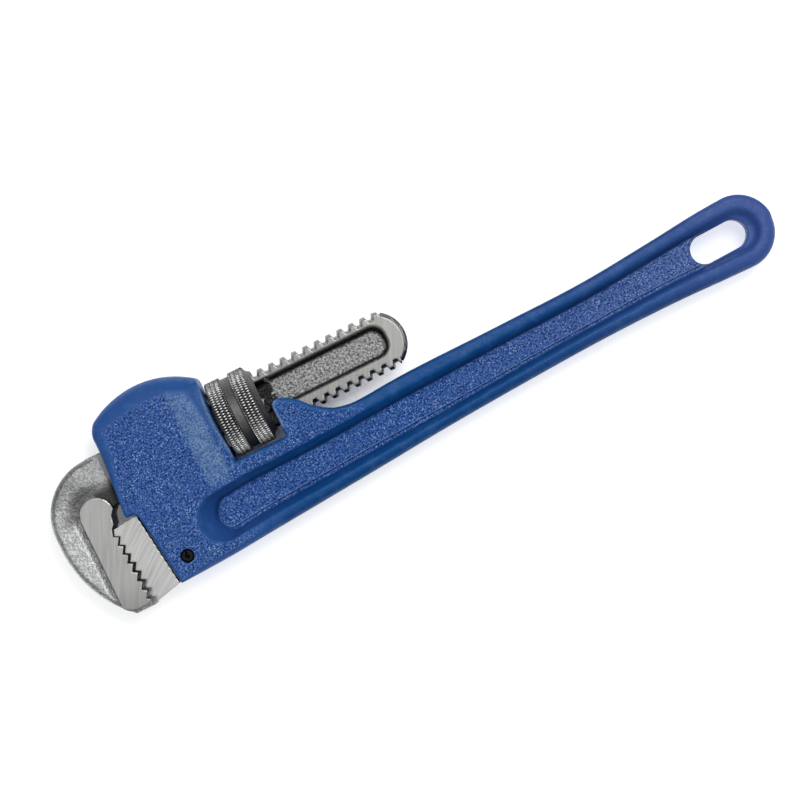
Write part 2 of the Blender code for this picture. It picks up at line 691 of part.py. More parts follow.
def slot_cutter():
    tilt = math.radians(SLOT_TILT_DEG)
    along = Vector((math.cos(tilt), math.sin(tilt))) * (SLOT_HALF_LENGTH - SLOT_HALF_WIDTH)
    right = (SLOT_CENTRE[0] + along.x, SLOT_CENTRE[1] + along.y)
    left = (SLOT_CENTRE[0] - along.x, SLOT_CENTRE[1] - along.y)
    outline = arc(right, SLOT_HALF_WIDTH, -90 + SLOT_TILT_DEG, 90 + SLOT_TILT_DEG, 10)
    outline += arc(left, SLOT_HALF_WIDTH, 90 + SLOT_TILT_DEG, 270 + SLOT_TILT_DEG, 10)
    return prism("hanging_slot_cutter", outline, *FAR)


def coil_pocket_cutter():
    """Blind round hole in the channel's floor, along Y."""
    circle = arc((COIL_X, 0.0), COIL_POCKET_RADIUS, 0, 345, 23)
    rings = [[(x, y, -z) for x, z in circle] for y in (COIL_POCKET_FLOOR_Y, CHANNEL_FLOOR_Y + OVERCUT)]
    return object_from("coil_pocket_cutter", rings_mesh(rings))


def handle_housing(material):
    casting = head("handle_housing")
    join(casting, handle_beam(), saddle())
    window = (HEAD_REAR_X, WINDOW_REAR_X - WINDOW_OVERLAP)
    trough = [(x - WINDOW_STEP, WINDOW_TROUGH_RADIUS) for x in window]
    channel = (CHANNEL_FROM_X, CHANNEL_TO_X)
    channel_zs = (-CHANNEL_HALF_WIDTH, CHANNEL_HALF_WIDTH)
    cut(
        casting,
        slab("nut_window_cutter", window, (WINDOW_FLOOR_Y, DOME_TOP_Y + OVERCUT)),
        turned("window_trough_cutter", trough, 60),
        slab("channel_cutter", channel, (CHANNEL_FLOOR_Y, CHANNEL_TOP_Y), channel_zs),
        pocket_cutter(1),
        pocket_cutter(-1),
        slot_cutter(),
    )
    rear_x, low_y, high_y = TONGUE_BOX
    slot_zs = (-TONGUE_HALF_THICKNESS - FIT_GAP, TONGUE_HALF_THICKNESS + FIT_GAP)
    slot_ys = (low_y - FIT_GAP, high_y + FIT_GAP)
    tongue_slot = slab("tongue_slot_cutter", (CHANNEL_FROM_X, rear_x + FIT_GAP), slot_ys, slot_zs)
    cut(casting, tongue_slot, prism("pin_hole_cutter", pin_circle(), *FAR), coil_pocket_cutter())
    casting.data.materials.append(material)
    return casting


# ---------------------------------------------------------------- nut and springs


def adjusting_nut(material):
    """Ring nut with two grip bands, a groove between them and a coned hub at the rear."""
    groove_radius = NUT_RADIUS - NUT_GROOVE_DEPTH
    rim = NUT_RADIUS - NUT_RIM_CHAMFER
    g = NUT_GROOVE_HALF_WIDTH
    profile = [
        (NUT_FRONT_X, rim),
        (NUT_FRONT_X + NUT_RIM_CHAMFER, NUT_RADIUS),
        (-g - NUT_GROOVE_FLANK, NUT_RADIUS),
        (-g, groove_radius),
        (g, groove_radius),
        (g + NUT_GROOVE_FLANK, NUT_RADIUS),
        (NUT_REAR_X - NUT_RIM_CHAMFER, NUT_RADIUS),
        (NUT_REAR_X, rim),
        (NUT_HUB_X, NUT_HUB_RADIUS),
    ]
    nut = turned("adjusting_nut", profile)
    tap = thread_rod("nut_tap", *FAR, THREAD_RADIAL_PLAY, THREAD_SIDE_PLAY)
    cut(nut, tap)
    nut.data.materials.append(material)
    return nut


def flat_spring(material):
    """Bowed leaf under the shank, its ends turned down."""
    upper, lower = [], []
    for i in range(LEAF_STEPS + 1):
        t = i / LEAF_STEPS
        x = LEAF_FROM_X + (LEAF_TO_X - LEAF_FROM_X) * t
        y = LEAF_TOP_Y - LEAF_BOW * (2 * t - 1) ** 2
        upper.append((x, y))
        lower.append((x, y - LEAF_THICKNESS))
    outline = lower + list(reversed(upper))
    leaf = prism("flat_spring", outline, -LEAF_HALF_WIDTH, LEAF_HALF_WIDTH, ROCK_PIVOT)
    leaf.data.materials.append(material)
    return leaf


def coil_spring(material):
    """Compression spring in the casting's pocket, its axis along Y."""
    curve = bpy.data.curves.new("coil_spring", "CURVE")
    curve.dimensions = "3D"
    curve.bevel_depth = COIL_WIRE_RADIUS * MM
    curve.bevel_resolution = 1
    curve.use_fill_caps = True
    steps = int(COIL_TURNS * COIL_STEPS_PER_TURN)
    line = curve.splines.new("POLY")
    line.points.add(steps)
    low = COIL_BOTTOM_Y + COIL_WIRE_RADIUS
    high = COIL_TOP_Y - COIL_WIRE_RADIUS
    for i in range(steps + 1):
        angle = 2 * math.pi * COIL_TURNS * i / steps
        x = COIL_RADIUS * math.cos(angle)
        z = COIL_RADIUS * math.sin(angle)
        y = (high - low) * i / steps
        line.points[i].co = (x * MM, y * MM, z * MM, 1.0)
    coil = bpy.data.objects.new("coil_spring", curve)
    coil.location = world((COIL_X, low, 0.0))
    bpy.context.scene.collection.objects.link(coil)
    curve.materials.append(material)
    return coil


def attach(child, parent):
    """Parents the child and keeps it where it stands."""
    bpy.context.view_layer.update()
    child.parent = parent
    child.matrix_parent_inverse = parent.matrix_world.inverted()


def main():
    clear_scene()
    paint = metal("blue_enamel", (0.03, 0.10, 0.38), 0.38, 0.0)
    forged = metal("forged_steel", (0.36, 0.36, 0.36), 0.45, 1.0)
    ground = metal("ground_steel", (0.62, 0.61, 0.60), 0.3, 1.0)
    black = metal("phosphate_steel", (0.06, 0.06, 0.06), 0.45, 1.0)
    spring = metal("spring_steel", (0.20, 0.20, 0.21), 0.35, 1.0)
    casting = handle_housing(paint)
    heel = heel_jaw(ground)
    pin = heel_jaw_pin(spring)
    hook = hook_jaw(forged)
    nut = adjusting_nut(black)
    leaf = flat_spring(spring)
    coil = coil_spring(spring)
    for piece in (heel, pin, coil):
        attach(piece, casting)
    rock = bpy.data.objects.new("jaw_rock_pivot", None)
    rock.location = world(ROCK_PIVOT)
    bpy.context.scene.collection.objects.link(rock)
    attach(rock, casting)
    for piece in (leaf, hook, nut):
        attach(piece, rock)


main()
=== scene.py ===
"""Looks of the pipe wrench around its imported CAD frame.

Shapes are drawn in millimetres in the CAD's drawing frame: the origin is the nut's centre, +X runs along the
shank to the handle's end, +Y points to the shank's back and +Z is the thickness. Castings and forgings are
signed distance fields (negative inside), meshed with their edges kept sharp.
"""

import json
import math

import bpy
import numpy as np
from mathutils import Matrix, Vector


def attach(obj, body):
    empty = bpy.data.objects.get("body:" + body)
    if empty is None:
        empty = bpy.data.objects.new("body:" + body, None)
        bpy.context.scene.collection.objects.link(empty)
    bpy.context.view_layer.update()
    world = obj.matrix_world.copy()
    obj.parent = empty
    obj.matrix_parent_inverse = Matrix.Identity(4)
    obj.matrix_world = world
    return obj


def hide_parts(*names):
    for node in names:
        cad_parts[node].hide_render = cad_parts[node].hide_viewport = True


MM = 0.001

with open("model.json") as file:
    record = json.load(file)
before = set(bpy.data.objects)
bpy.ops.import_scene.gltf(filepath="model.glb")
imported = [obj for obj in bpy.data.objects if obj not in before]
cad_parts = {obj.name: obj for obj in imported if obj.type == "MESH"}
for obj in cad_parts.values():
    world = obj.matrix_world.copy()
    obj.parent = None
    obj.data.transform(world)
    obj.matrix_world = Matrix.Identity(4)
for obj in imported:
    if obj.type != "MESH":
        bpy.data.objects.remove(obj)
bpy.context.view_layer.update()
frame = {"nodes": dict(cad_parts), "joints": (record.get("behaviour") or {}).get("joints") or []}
joints = {joint["name"]: joint for joint in frame["joints"]}
NUT_CENTRE = np.array(joints["nut_spin"]["pos_m"]) / MM


def to_world(points):
    return (np.asarray(points, float) + NUT_CENTRE) * MM


# ---------------------------------------------------------------- distance fields


def round_common(a, b, radius):
    """Where both fields are inside, with its convex edge rounded."""
    u = np.maximum(radius + a, 0.0)
    v = np.maximum(radius + b, 0.0)
    return np.minimum(-radius, np.maximum(a, b)) + np.sqrt(u * u + v * v)


def smooth(x, low, high):
    """0 below low, 1 above high, smooth between."""
    t = np.clip((x - low) / (high - low), 0.0, 1.0)
    return t * t * (3.0 - 2.0 * t)


def polygon(x, y, points):
    """Distance to a closed polygon."""
    nearest = np.full(np.broadcast(x, y).shape, 1e9)
    sign = np.ones(nearest.shape)
    for (ax, ay), (bx, by) in zip(points, points[1:] + points[:1]):
        ex, ey = bx - ax, by - ay
        wx, wy = x - ax, y - ay
        t = np.clip((wx * ex + wy * ey) / (ex * ex + ey * ey), 0.0, 1.0)
        nearest = np.minimum(nearest, (wx - ex * t) ** 2 + (wy - ey * t) ** 2)
        above, below, left = y >= ay, y < by, ex * wy > ey * wx
        flip = (above & below & left) | (~above & ~below & ~left)
        sign = np.where(flip, -sign, sign)
    return sign * np.sqrt(nearest)


def box_2d(x, y, low_x, high_x, low_y, high_y, corner=0.0):
    dx = np.abs(x - (low_x + high_x) / 2) - (high_x - low_x) / 2 + corner
    dy = np.abs(y - (low_y + high_y) / 2) - (high_y - low_y) / 2 + corner
    outside = np.sqrt(np.maximum(dx, 0.0) ** 2 + np.maximum(dy, 0.0) ** 2)
    return outside + np.minimum(np.maximum(dx, dy), 0.0) - corner


def arc(centre, radius, from_deg, to_deg, steps):
    angles = [math.radians(from_deg + (to_deg - from_deg) * i / steps) for i in range(steps + 1)]
    return [(centre[0] + radius * math.cos(a), centre[1] + radius * math.sin(a)) for a in angles]


def curve_table(table, low, high, count=400):
    """A dense table of the smooth curve through (x, value) pairs."""
    xs = np.linspace(low, high, count)
    px = np.array([row[0] for row in table], float)
    py = np.array([row[1] for row in table], float)
    slopes = np.gradient(py, px)
    index = np.clip(np.searchsorted(px, xs) - 1, 0, len(px) - 2)
    span = px[index + 1] - px[index]
    t = np.clip((xs - px[index]) / span, 0.0, 1.0)
    values = (
        (2 * t**3 - 3 * t**2 + 1) * py[index]
        + (t**3 - 2 * t**2 + t) * span * slopes[index]
        + (3 * t**2 - 2 * t**3) * py[index + 1]
        + (t**3 - t**2) * span * slopes[index + 1]
    )
    return xs, values


# ---------------------------------------------------------------- mesher

AROUND_EDGE = ((-1, -1), (0, -1), (0, 0), (-1, 0))
TETRA = np.array([(1, 1, 1), (1, -1, -1), (-1, 1, -1), (-1, -1, 1)], float)


def gradients(field, points, step=0.02):
    """Unit normals of the field at the points."""
    total = np.zeros(points.shape)
    for way in TETRA:
        moved = points + way * step
        total += field(moved[:, 0], moved[:, 1], moved[:, 2])[:, None] * way
    return total / np.maximum(np.linalg.norm(total, axis=1), 1e-9)[:, None]


def crossings(field, values, axes, axis):
    """Grid edges along the axis that the surface crosses.

    Gives each edge's low index, its crossing point and whether its low end is inside.
    """
    low_in = np.take(values, range(values.shape[axis] - 1), axis) < 0
    high_in = np.take(values, range(1, values.shape[axis]), axis) < 0
    index = np.argwhere(low_in != high_in)
    ends = index.copy()
    ends[:, axis] += 1
    low = np.stack([axes[i][index[:, i]] for i in range(3)], axis=1)
    high = np.stack([axes[i][ends[:, i]] for i in range(3)], axis=1)
    f_low = values[tuple(index.T)]
    f_high = values[tuple(ends.T)]
    starts_in = f_low < 0
    for _ in range(2):
        t = np.clip(f_low / (f_low - f_high), 0.02, 0.98)[:, None]
        middle = low + (high - low) * t
        f_middle = field(middle[:, 0], middle[:, 1], middle[:, 2])
        same = (f_middle < 0) == (f_low < 0)
        low = np.where(same[:, None], middle, low)
        high = np.where(same[:, None], high, middle)
        f_low = np.where(same, f_middle, f_low)
        f_high = np.where(same, f_high, f_middle)
    t = np.clip(f_low / (f_low - f_high), 0.0, 1.0)[:, None]
    return index, low + (high - low) * t, starts_in


def dual_contour(field, xs, ys, zs):
    """Points and quads of the field's surface over a rectilinear grid, with sharp edges kept."""
    axes = (xs, ys, zs)
    full = (len(xs), len(ys), len(zs))
    values = np.broadcast_to(field(xs[:, None, None], ys[None, :, None], zs[None, None, :]), full)
    cells, points, normals, quads = [], [], [], []
    for axis in range(3):
        index, found, starts_in = crossings(field, values, axes, axis)
        facing = gradients(field, found)
        second, third = (axis + 1) % 3, (axis + 2) % 3
        corners = []
        for shift_2, shift_3 in AROUND_EDGE:
            cell = index.copy()
            cell[:, second] += shift_2
            cell[:, third] += shift_3
            corners.append(np.ravel_multi_index(tuple(cell.T), full))
            points.append(found)
            normals.append(facing)
        cells += corners
        ring = np.stack(corners, axis=1)
        quads.append(np.where(starts_in[:, None], ring, ring[:, ::-1]))
    cells, points, normals = np.concatenate(cells), np.concatenate(points), np.concatenate(normals)
    unique, member = np.unique(cells, return_inverse=True)
    member = member.reshape(-1)
    count = np.bincount(member)

    def summed(weights):
        return np.bincount(member, weights=weights)

    centre = np.stack([summed(points[:, i]) / count for i in range(3)], axis=1)
    offset = np.einsum("ij,ij->i", normals, points - centre[member])
    matrix = np.zeros((len(unique), 3, 3))
    right = np.zeros((len(unique), 3))
    for i in range(3):
        right[:, i] = summed(normals[:, i] * offset)
        for j in range(3):
            matrix[:, i, j] = summed(normals[:, i] * normals[:, j])
        matrix[:, i, i] += 0.05
    solved = centre + np.linalg.solve(matrix, right[:, :, None])[:, :, 0]
    cell = np.stack(np.unravel_index(unique, full), axis=1)
    for i in range(3):
        solved[:, i] = np.clip(solved[:, i], axes[i][cell[:, i]], axes[i][cell[:, i] + 1])
    return solved, np.searchsorted(unique, np.concatenate(quads))


def spaced(*stretches):
    """Grid lines through stretches of (from, to, spacing)."""
    lines = [np.array([stretches[0][0]])]
    for low, high, spacing in stretches:
        steps = max(1, int(round((high - low) / spacing)))
        lines.append(np.linspace(low, high, steps + 1)[1:])
    return np.concatenate(lines)


def mesh_piece(name, points, quads, sharp_deg=38.0):
    """An object in the scene from points in drawing millimetres and quads."""
    mesh = bpy.data.meshes.new(name)
    mesh.vertices.add(len(points))
    mesh.vertices.foreach_set("co", to_world(points).astype(np.float32).ravel())
    mesh.loops.add(quads.size)
    mesh.loops.foreach_set("vertex_index", quads.astype(np.int32).ravel())
    mesh.polygons.add(len(quads))
    mesh.polygons.foreach_set("loop_start", np.arange(0, quads.size, 4, dtype=np.int32))
    mesh.update()
    mesh.validate()
    mesh.shade_smooth()
    mesh.set_sharp_from_angle(angle=math.radians(sharp_deg))
    piece = bpy.data.objects.new(name, mesh)
    bpy.context.scene.collection.objects.link(piece)
    return piece


def paint_attribute(piece, name, values):
    """Stores one number for each point, which the materials read."""
    layer = piece.data.attributes.new(name, "FLOAT", "POINT")
    layer.data.foreach_set("value", np.asarray(values, np.float32))


# ---------------------------------------------------------------- casting

HANDLE_SECTIONS = (  # x, upper side, lower side, half thickness
    (-44.0, -24.0, -52.35, 13.6),
    (-28.0, -19.5, -51.6, 13.2),
    (-10.0, -17.4, -50.2, 12.0),
    (14.0, -17.4, -48.4, 11.4),
    (36.0, -17.4, -46.7, 10.4),
    (48.0, -17.2, -45.75, 9.9),
    (61.0, -16.35, -44.65, 9.4),
    (112.0, -15.5, -41.3, 8.4),
    (150.0, -14.75, -39.6, 7.9),
    (182.0, -12.1, -39.3, 7.6),
    (207.0, -9.7, -40.0, 7.5),
)
EYE = (216.4, -24.7)
EYE_RADIUS = 15.5
EYE_HALF = 7.4
TOPS = curve_table([(s[0], s[1]) for s in HANDLE_SECTIONS] + [(EYE[0], EYE[1] + EYE_RADIUS)], -44, EYE[0])
BOTTOMS = curve_table([(s[0], s[2]) for s in HANDLE_SECTIONS] + [(EYE[0], EYE[1] - EYE_RADIUS)], -44, EYE[0])
HALVES = curve_table([(s[0], s[3]) for s in HANDLE_SECTIONS] + [(EYE[0], EYE_HALF)], -44, EYE[0])
HEAD_OUTLINE = [
    (-51.4, -52.5), (-44.0, -52.3), (-16.0, -50.6), (-11.4, -30.0), (-9.6, -17.4), (-9.6, 14.5), (-9.5, 16.8),
    (-8.9, 18.4), (-8.9, 34.0), (-58.1, 34.0), (-58.1, 8.0), (-58.5, 3.0), (-59.2, -5.0), (-60.3, -17.2),
    (-59.8, -18.75), (-56.6, -18.75), (-55.3, -20.6),
]
DOME = (-34.0, -9.8)
DOME_RADIUS = 38.4
SADDLE_OUTLINE = [
    (49.0, -24.0), (49.0, -17.3), (46.0, -17.4), (42.0, -17.1), (38.5, -16.5), (35.3, -15.6), (31.9, -13.8),
    (29.3, -11.9), (27.0, -9.8), (24.7, -7.1), (21.8, -4.6), (18.8, -2.8), (16.6, -2.0), (14.9, -2.2),
    (13.6, -3.1), (13.0, -4.7), (13.0, -24.0),
]
CHEEK_HALF = 14.0
WEB_HALF = 3.6
POCKET_SECTIONS = (  # x, middle, half height
    (-24.8, -35.6, 10.4), (-10.0, -34.2, 10.2), (15.0, -33.2, 9.7), (60.0, -30.9, 9.2), (90.0, -29.5, 8.65),
    (120.0, -28.0, 8.05), (150.0, -26.8, 7.8), (180.0, -25.1, 8.3), (200.0, -24.3, 9.0), (216.2, -24.2, 9.5),
)
POCKET_LEFT_X = POCKET_SECTIONS[0][0]
POCKET_RIGHT_X = POCKET_SECTIONS[-1][0]
POCKET_LINE = curve_table([(s[0], s[1]) for s in POCKET_SECTIONS], POCKET_LEFT_X, POCKET_RIGHT_X)
POCKET_HEIGHTS = curve_table([(s[0], s[2]) for s in POCKET_SECTIONS], POCKET_LEFT_X, POCKET_RIGHT_X)
SLOT_CENTRE = (207.9, -24.7)
SLOT_HALF_LENGTH = 12.65
SLOT_HALF_WIDTH = 6.05
SLOT_TILT = math.radians(2.1)
PIN_AT = (-44.4, -43.5)
PIN_HOLE_RADIUS = 2.9
BAND_FROM_X = -23.6
BAND_SLOPE_LENGTH = 8.5
BAND_DROP = 1.9
NUT_HOLLOW = 1.4
SEAM_STEP = 0.45
CHANNEL = (-90.0, 45.0, -15.4, 12.95)  # low x, high x, low y, high y
CHANNEL_HALF = 5.95
WINDOW_CENTRE_X = 1.55
WINDOW_HALF_LENGTH = 11.45
WINDOW_FLOOR_Y = -17.4
WINDOW_RADIUS = 18.9
HEEL_SEAT = (-80.0, -38.6, -49.9, -26.6)
HEEL_SEAT_HALF = 5.0
COIL_POCKET = (-23.0, -18.4)
COIL_POCKET_RADIUS = 4.1
COIL_POCKET_HALF_DEPTH = 4.4


def casting_outline(x, y):
    """Distance to the casting's side outline."""
    head = polygon(x, y, HEAD_OUTLINE)
    dome = np.sqrt((x - DOME[0]) ** 2 + np.maximum(y - DOME[1], 0.0) ** 2) - DOME_RADIUS
    head = round_common(head, dome, 2.0 + 1.5 * smooth(-x, 36.0, 50.0))
    top = np.interp(x, *TOPS)
    bottom = np.interp(x, *BOTTOMS)
    beam = np.maximum(np.maximum(y - top, bottom - y), -44.0 - x)
    eye = np.sqrt((x - EYE[0]) ** 2 + (y - EYE[1]) ** 2) - EYE_RADIUS
    beam = np.where(x > EYE[0], eye, beam)
    return np.minimum(np.minimum(head, beam), polygon(x, y, SADDLE_OUTLINE))


def casting_half(x, y):
    """Half thickness of the casting at a point of its outline."""
    beam = np.interp(x, *HALVES)
    along = (x - BAND_FROM_X) / BAND_SLOPE_LENGTH
    band = CHEEK_HALF - BAND_DROP * np.minimum((along + np.sqrt(along**2 + 0.006)) / 2, 1.0)
    foot = CHEEK_HALF + (beam - CHEEK_HALF) * smooth(x, -38.0, -8.0)
    head = foot + (band - foot) * smooth(y, -31.0, -23.0)
    saddle = 11.6 - 0.2 * smooth(x, 14.0, 36.0)
    beside_saddle = smooth(y, -22.0, -16.0) * smooth(-x, -40.0, -30.0)
    rear = beam + (saddle - beam) * beside_saddle
    return np.where(x < -8.0, head, rear)


def casting_round(x, y):
    """Radius of the outline's rounded edge."""
    radius = 1.3 + 1.5 * smooth(y, -8.0, 6.0) * smooth(-x, 48.0, 54.0)
    radius = radius + 6.2 * smooth(y, 6.0, 22.0) * smooth(x, -61.0, -42.0)
    radius = radius + (2.2 - radius) * smooth(x, -15.0, -11.0) * smooth(-y, -21.0, -15.0)
    below = smooth(np.interp(x, *POCKET_LINE) - y, -2.0, 2.0)
    beam = smooth(-y, 24.0, 34.0) * smooth(x, -50.0, -42.0)
    beam = np.maximum(beam, smooth(x, -9.0, -8.0))
    radius = radius + (1.9 + 2.3 * below - radius) * beam
    saddle = smooth(x, 11.0, 12.0) * smooth(-x, -50.0, -32.0) * smooth(y, -26.0, -20.0)
    radius = radius + (1.2 - radius) * saddle
    window = smooth(x, -12.0, -8.0) * smooth(-x, -14.0, -11.5) * smooth(y, -23.0, -18.0)
    return radius + (2.6 - radius) * window


def pocket_middle(x):
    return np.interp(x, *POCKET_LINE)


def pocket_reach(x, y):
    """Distance to the crest line of the side pockets."""
    along = np.maximum(POCKET_LEFT_X - x, 0.0) + np.maximum(x - POCKET_RIGHT_X, 0.0)
    return np.sqrt(along**2 + (y - pocket_middle(x)) ** 2) - np.interp(x, *POCKET_HEIGHTS)


def pocket_run(x, y):
    """How far the pocket's wall leans: most at the head's end and along the upper side."""
    upper = smooth(y - pocket_middle(x), -3.0, 3.0)
    run = 2.8 - 0.9 * smooth(x, 20.0, 120.0) + 1.3 * upper
    return run + (10.5 - run) * smooth(-x, 22.0, 32.0)


def seam(x, y):
    """Height above the fine step that runs along the web's lower edge."""
    return y - pocket_middle(x) + np.interp(x, *POCKET_HEIGHTS) - pocket_run(x, y) - 1.5


def hollowed_outline(x, y, depth):
    """The side outline, bowed in beside the nut towards the cheeks' faces."""
    hollow = NUT_HOLLOW * np.clip(1.0 - ((y - 2.0) / 15.0) ** 2, 0.0, 1.0)
    hollow = hollow * smooth(x, -25.0, -12.0) * smooth(-x, 0.0, 6.0)
    return casting_outline(x + hollow * smooth(depth, 6.0, 12.5), y)


def casting(x, y, z):
    """The handle with its head, saddle, pockets and passages."""
    half = casting_half(x, y)
    depth = np.abs(z)
    outline = hollowed_outline(x, y, depth)
    body = round_common(outline, depth - half, casting_round(x, y))
    run = pocket_run(x, y)
    drop = half - WEB_HALF
    wall = (pocket_reach(x, y) + run * (1.0 - (depth - WEB_HALF) / drop)) * drop / np.sqrt(drop**2 + run**2)
    step = SEAM_STEP * smooth(-seam(x, y), -0.25, 0.25) * smooth(x, -14.0, 0.0) * smooth(-x, -205.0, -195.0)
    pocket = round_common(wall, WEB_HALF - step - depth, 1.0 + 4.5 * smooth(-x, 20.0, 30.0))
    body = round_common(body, -pocket, 0.9)
    along = (x - SLOT_CENTRE[0]) * math.cos(SLOT_TILT) + (y - SLOT_CENTRE[1]) * math.sin(SLOT_TILT)
    across = (y - SLOT_CENTRE[1]) * math.cos(SLOT_TILT) - (x - SLOT_CENTRE[0]) * math.sin(SLOT_TILT)
    reach = np.maximum(np.abs(along) - SLOT_HALF_LENGTH + SLOT_HALF_WIDTH, 0.0)
    slot = np.sqrt(reach**2 + across**2) - SLOT_HALF_WIDTH
    body = round_common(body, -slot, 0.6)
    channel = np.maximum(box_2d(x, y, *CHANNEL), depth - CHANNEL_HALF)
    body = round_common(body, -channel, 0.6)
    from_axis = np.sqrt(y**2 + z**2)
    below = np.minimum(WINDOW_FLOOR_Y - y, from_axis - WINDOW_RADIUS)
    window = np.maximum(np.abs(x - WINDOW_CENTRE_X) - WINDOW_HALF_LENGTH, below)
    body = round_common(body, -window, 0.5)
    seat = np.maximum(box_2d(x, y, *HEEL_SEAT), depth - HEEL_SEAT_HALF)
    pin = np.sqrt((x - PIN_AT[0]) ** 2 + (y - PIN_AT[1]) ** 2) - PIN_HOLE_RADIUS
    coil = np.sqrt((x - COIL_POCKET[0]) ** 2 + z**2) - COIL_POCKET_RADIUS
    coil = np.maximum(coil, np.abs(y - COIL_POCKET[1]) - COIL_POCKET_HALF_DEPTH)
    body = round_common(body, -seat, 0.3)
    body = round_common(body, -pin, 0.45)
    return np.maximum(body, -coil)


def make_casting():
    xs = spaced((-61.0, 44.0, 0.66), (44.0, 195.0, 1.35), (195.0, 232.9, 0.7))
    ys = spaced((-53.7, 30.1, 0.65))
    zs = spaced((-14.7, 14.7, 0.6))
    points, quads = dual_contour(casting, xs, ys, zs)
    piece = mesh_piece("handle_casting", points, quads)
    x, y, z = points.T
    flat = smooth(np.abs(z), casting_half(x, y) - 0.9, casting_half(x, y) - 0.25)
    inside = -hollowed_outline(x, y, np.abs(z))
    dome = smooth(y, 6.0, 22.0) * smooth(x, -61.0, -42.0)
    front = smooth(y, -8.0, 8.0) * (1.0 - dome)
    cheek = flat * smooth(inside, 0.5 + 6.5 * dome + 2.4 * front, 2.5 + 7.0 * dome + 3.0 * front)
    cheek = cheek * smooth(-x, -52.0, -36.0)
    cheek = cheek * smooth(pocket_reach(x, y), -0.4, 0.6)
    cheek = cheek * (1.0 - smooth(x, -26.0, -8.0) * smooth(pocket_middle(x) - y, 0.0, 4.0))
    web = smooth(-np.abs(z), -WEB_HALF - 1.0, -WEB_HALF - 0.1) * smooth(-pocket_reach(x, y), 1.5, 2.6)
    web = web * smooth(-x, -208.0, -200.0)
    upper = smooth(y - pocket_middle(x), -3.0, 3.0)
    # painted shading: the foot of the pocket's wall, the lower flank and a thin line along the upper edge
    deep = smooth(-np.abs(z), -WEB_HALF - 4.2, -WEB_HALF - 0.6) * smooth(-pocket_reach(x, y), 0.0, 1.0)
    deep = deep * (1.0 - web) * (0.45 + 0.55 * upper) * smooth(-x, -222.0, -190.0)
    beam = smooth(x, -16.0, 2.0) * smooth(-x, -222.0, -190.0)
    deep = np.maximum(deep, 0.42 * beam * (1.0 - upper) * smooth(-inside, -5.0, -0.6))
    deep = np.maximum(deep, 0.60 * beam * upper * smooth(-inside, -1.5, -0.2) * smooth(x, 28.0, 40.0))
    # the sloped band at the head's rear, which gets a painted highlight in the enamel
    band = flat * smooth(x, -25.0, -22.0) * smooth(-x, 12.5, 14.5) * smooth(y, -25.0, -18.0)
    top = smooth(y, 5.0, 18.0)
    band = band * smooth(inside, 2.0 + 3.5 * top, 5.0 + 4.5 * top)
    # painted highlight: a thin pale line along the head's rear edge and the saddle's front edge
    edge_highlight_zones = smooth(x, -16.0, -12.0) * smooth(-x, 4.0, 6.0) * smooth(y, -17.0, -15.0) * smooth(-y, -19.0, -17.0)
    edge_highlight_zones = edge_highlight_zones + smooth(x, 10.0, 12.0) * smooth(-x, -17.5, -15.5) * smooth(y, -15.0, -13.0)
    edge = edge_highlight_zones * smooth(-np.abs(inside - 0.6), -0.7, -0.2) * smooth(np.abs(z), 9.5, 11.0) * (1.0 - 0.55 * top)
    paint_attribute(piece, "cheek", cheek)
    paint_attribute(piece, "web", web)
    paint_attribute(piece, "band", band)
    paint_attribute(piece, "edge", edge)
    paint_attribute(piece, "deep", deep)
    paint_attribute(piece, "seam", np.clip(seam(x, y), -2.0, 2.0))
    return piece


# ---------------------------------------------------------------- hook with its threaded shank

PITCH = 5.25
THREAD_RADIUS = 12.5
ROOT_RADIUS = 10.4
CREST_WIDTH = 1.9
ROOT_WIDTH = 1.6
CREST_AT_BACK_X = 14.7
THREAD_FROM_X = -13.0
THREAD_TO_X = 69.2
FLANK = (PITCH - CREST_WIDTH - ROOT_WIDTH) / 2
FLANK_SLOPE = FLANK / (THREAD_RADIUS - ROOT_RADIUS)
SHANK_HALF = 5.4
SHANK_POCKET_DEPTH = 1.9
SHANK_END_CENTRE_X = 62.5
SHANK_END_RADIUS = 13.2
SHANK_HALF_HEIGHT = 12.55
PLAIN_BAR = (-66.0, THREAD_FROM_X, -11.9, 10.4)  # low x, high x, low y, high y
SHANK_POCKET = (-41.0, 68.0, -6.1, 8.0)
SHANK_POCKET_CORNER = 6.0
RUNOUT_X = (68.2, 69.4, 70.4)
RUNOUT_RADII = (10.3, 10.6, THREAD_RADIUS)
PAD_HALF = 9.7
FORGING_END_X = -60.6
TOOTH_PITCH = 4.09
TOOTH_DEPTH = 2.0
TOOTH_COUNT = 8
STEEP_SHARE = 0.29
LOWEST_VALLEY = (-67.45, -51.8)
HOOK_FOOT_Y = -55.7


def teeth_line(start, lean_deg):
    lean = math.tan(math.radians(lean_deg))
    points = []
    for tooth in range(TOOTH_COUNT):
        for share, depth in ((0.0, 0.0), (STEEP_SHARE, TOOTH_DEPTH)):
            down = TOOTH_PITCH * (tooth + share)
            points.append((start[0] + down * lean + depth, start[1] - down))
    return points


def hook_teeth():
    rise = TOOTH_PITCH * (TOOTH_COUNT - 1)
    top_x = LOWEST_VALLEY[0] - rise * math.tan(math.radians(2.2))
    return teeth_line((top_x, LOWEST_VALLEY[1] + rise), 2.2)


def heel_teeth():
    top_x, top_y = hook_teeth()[0]
    return teeth_line((top_x + 0.5, top_y), 5.5)


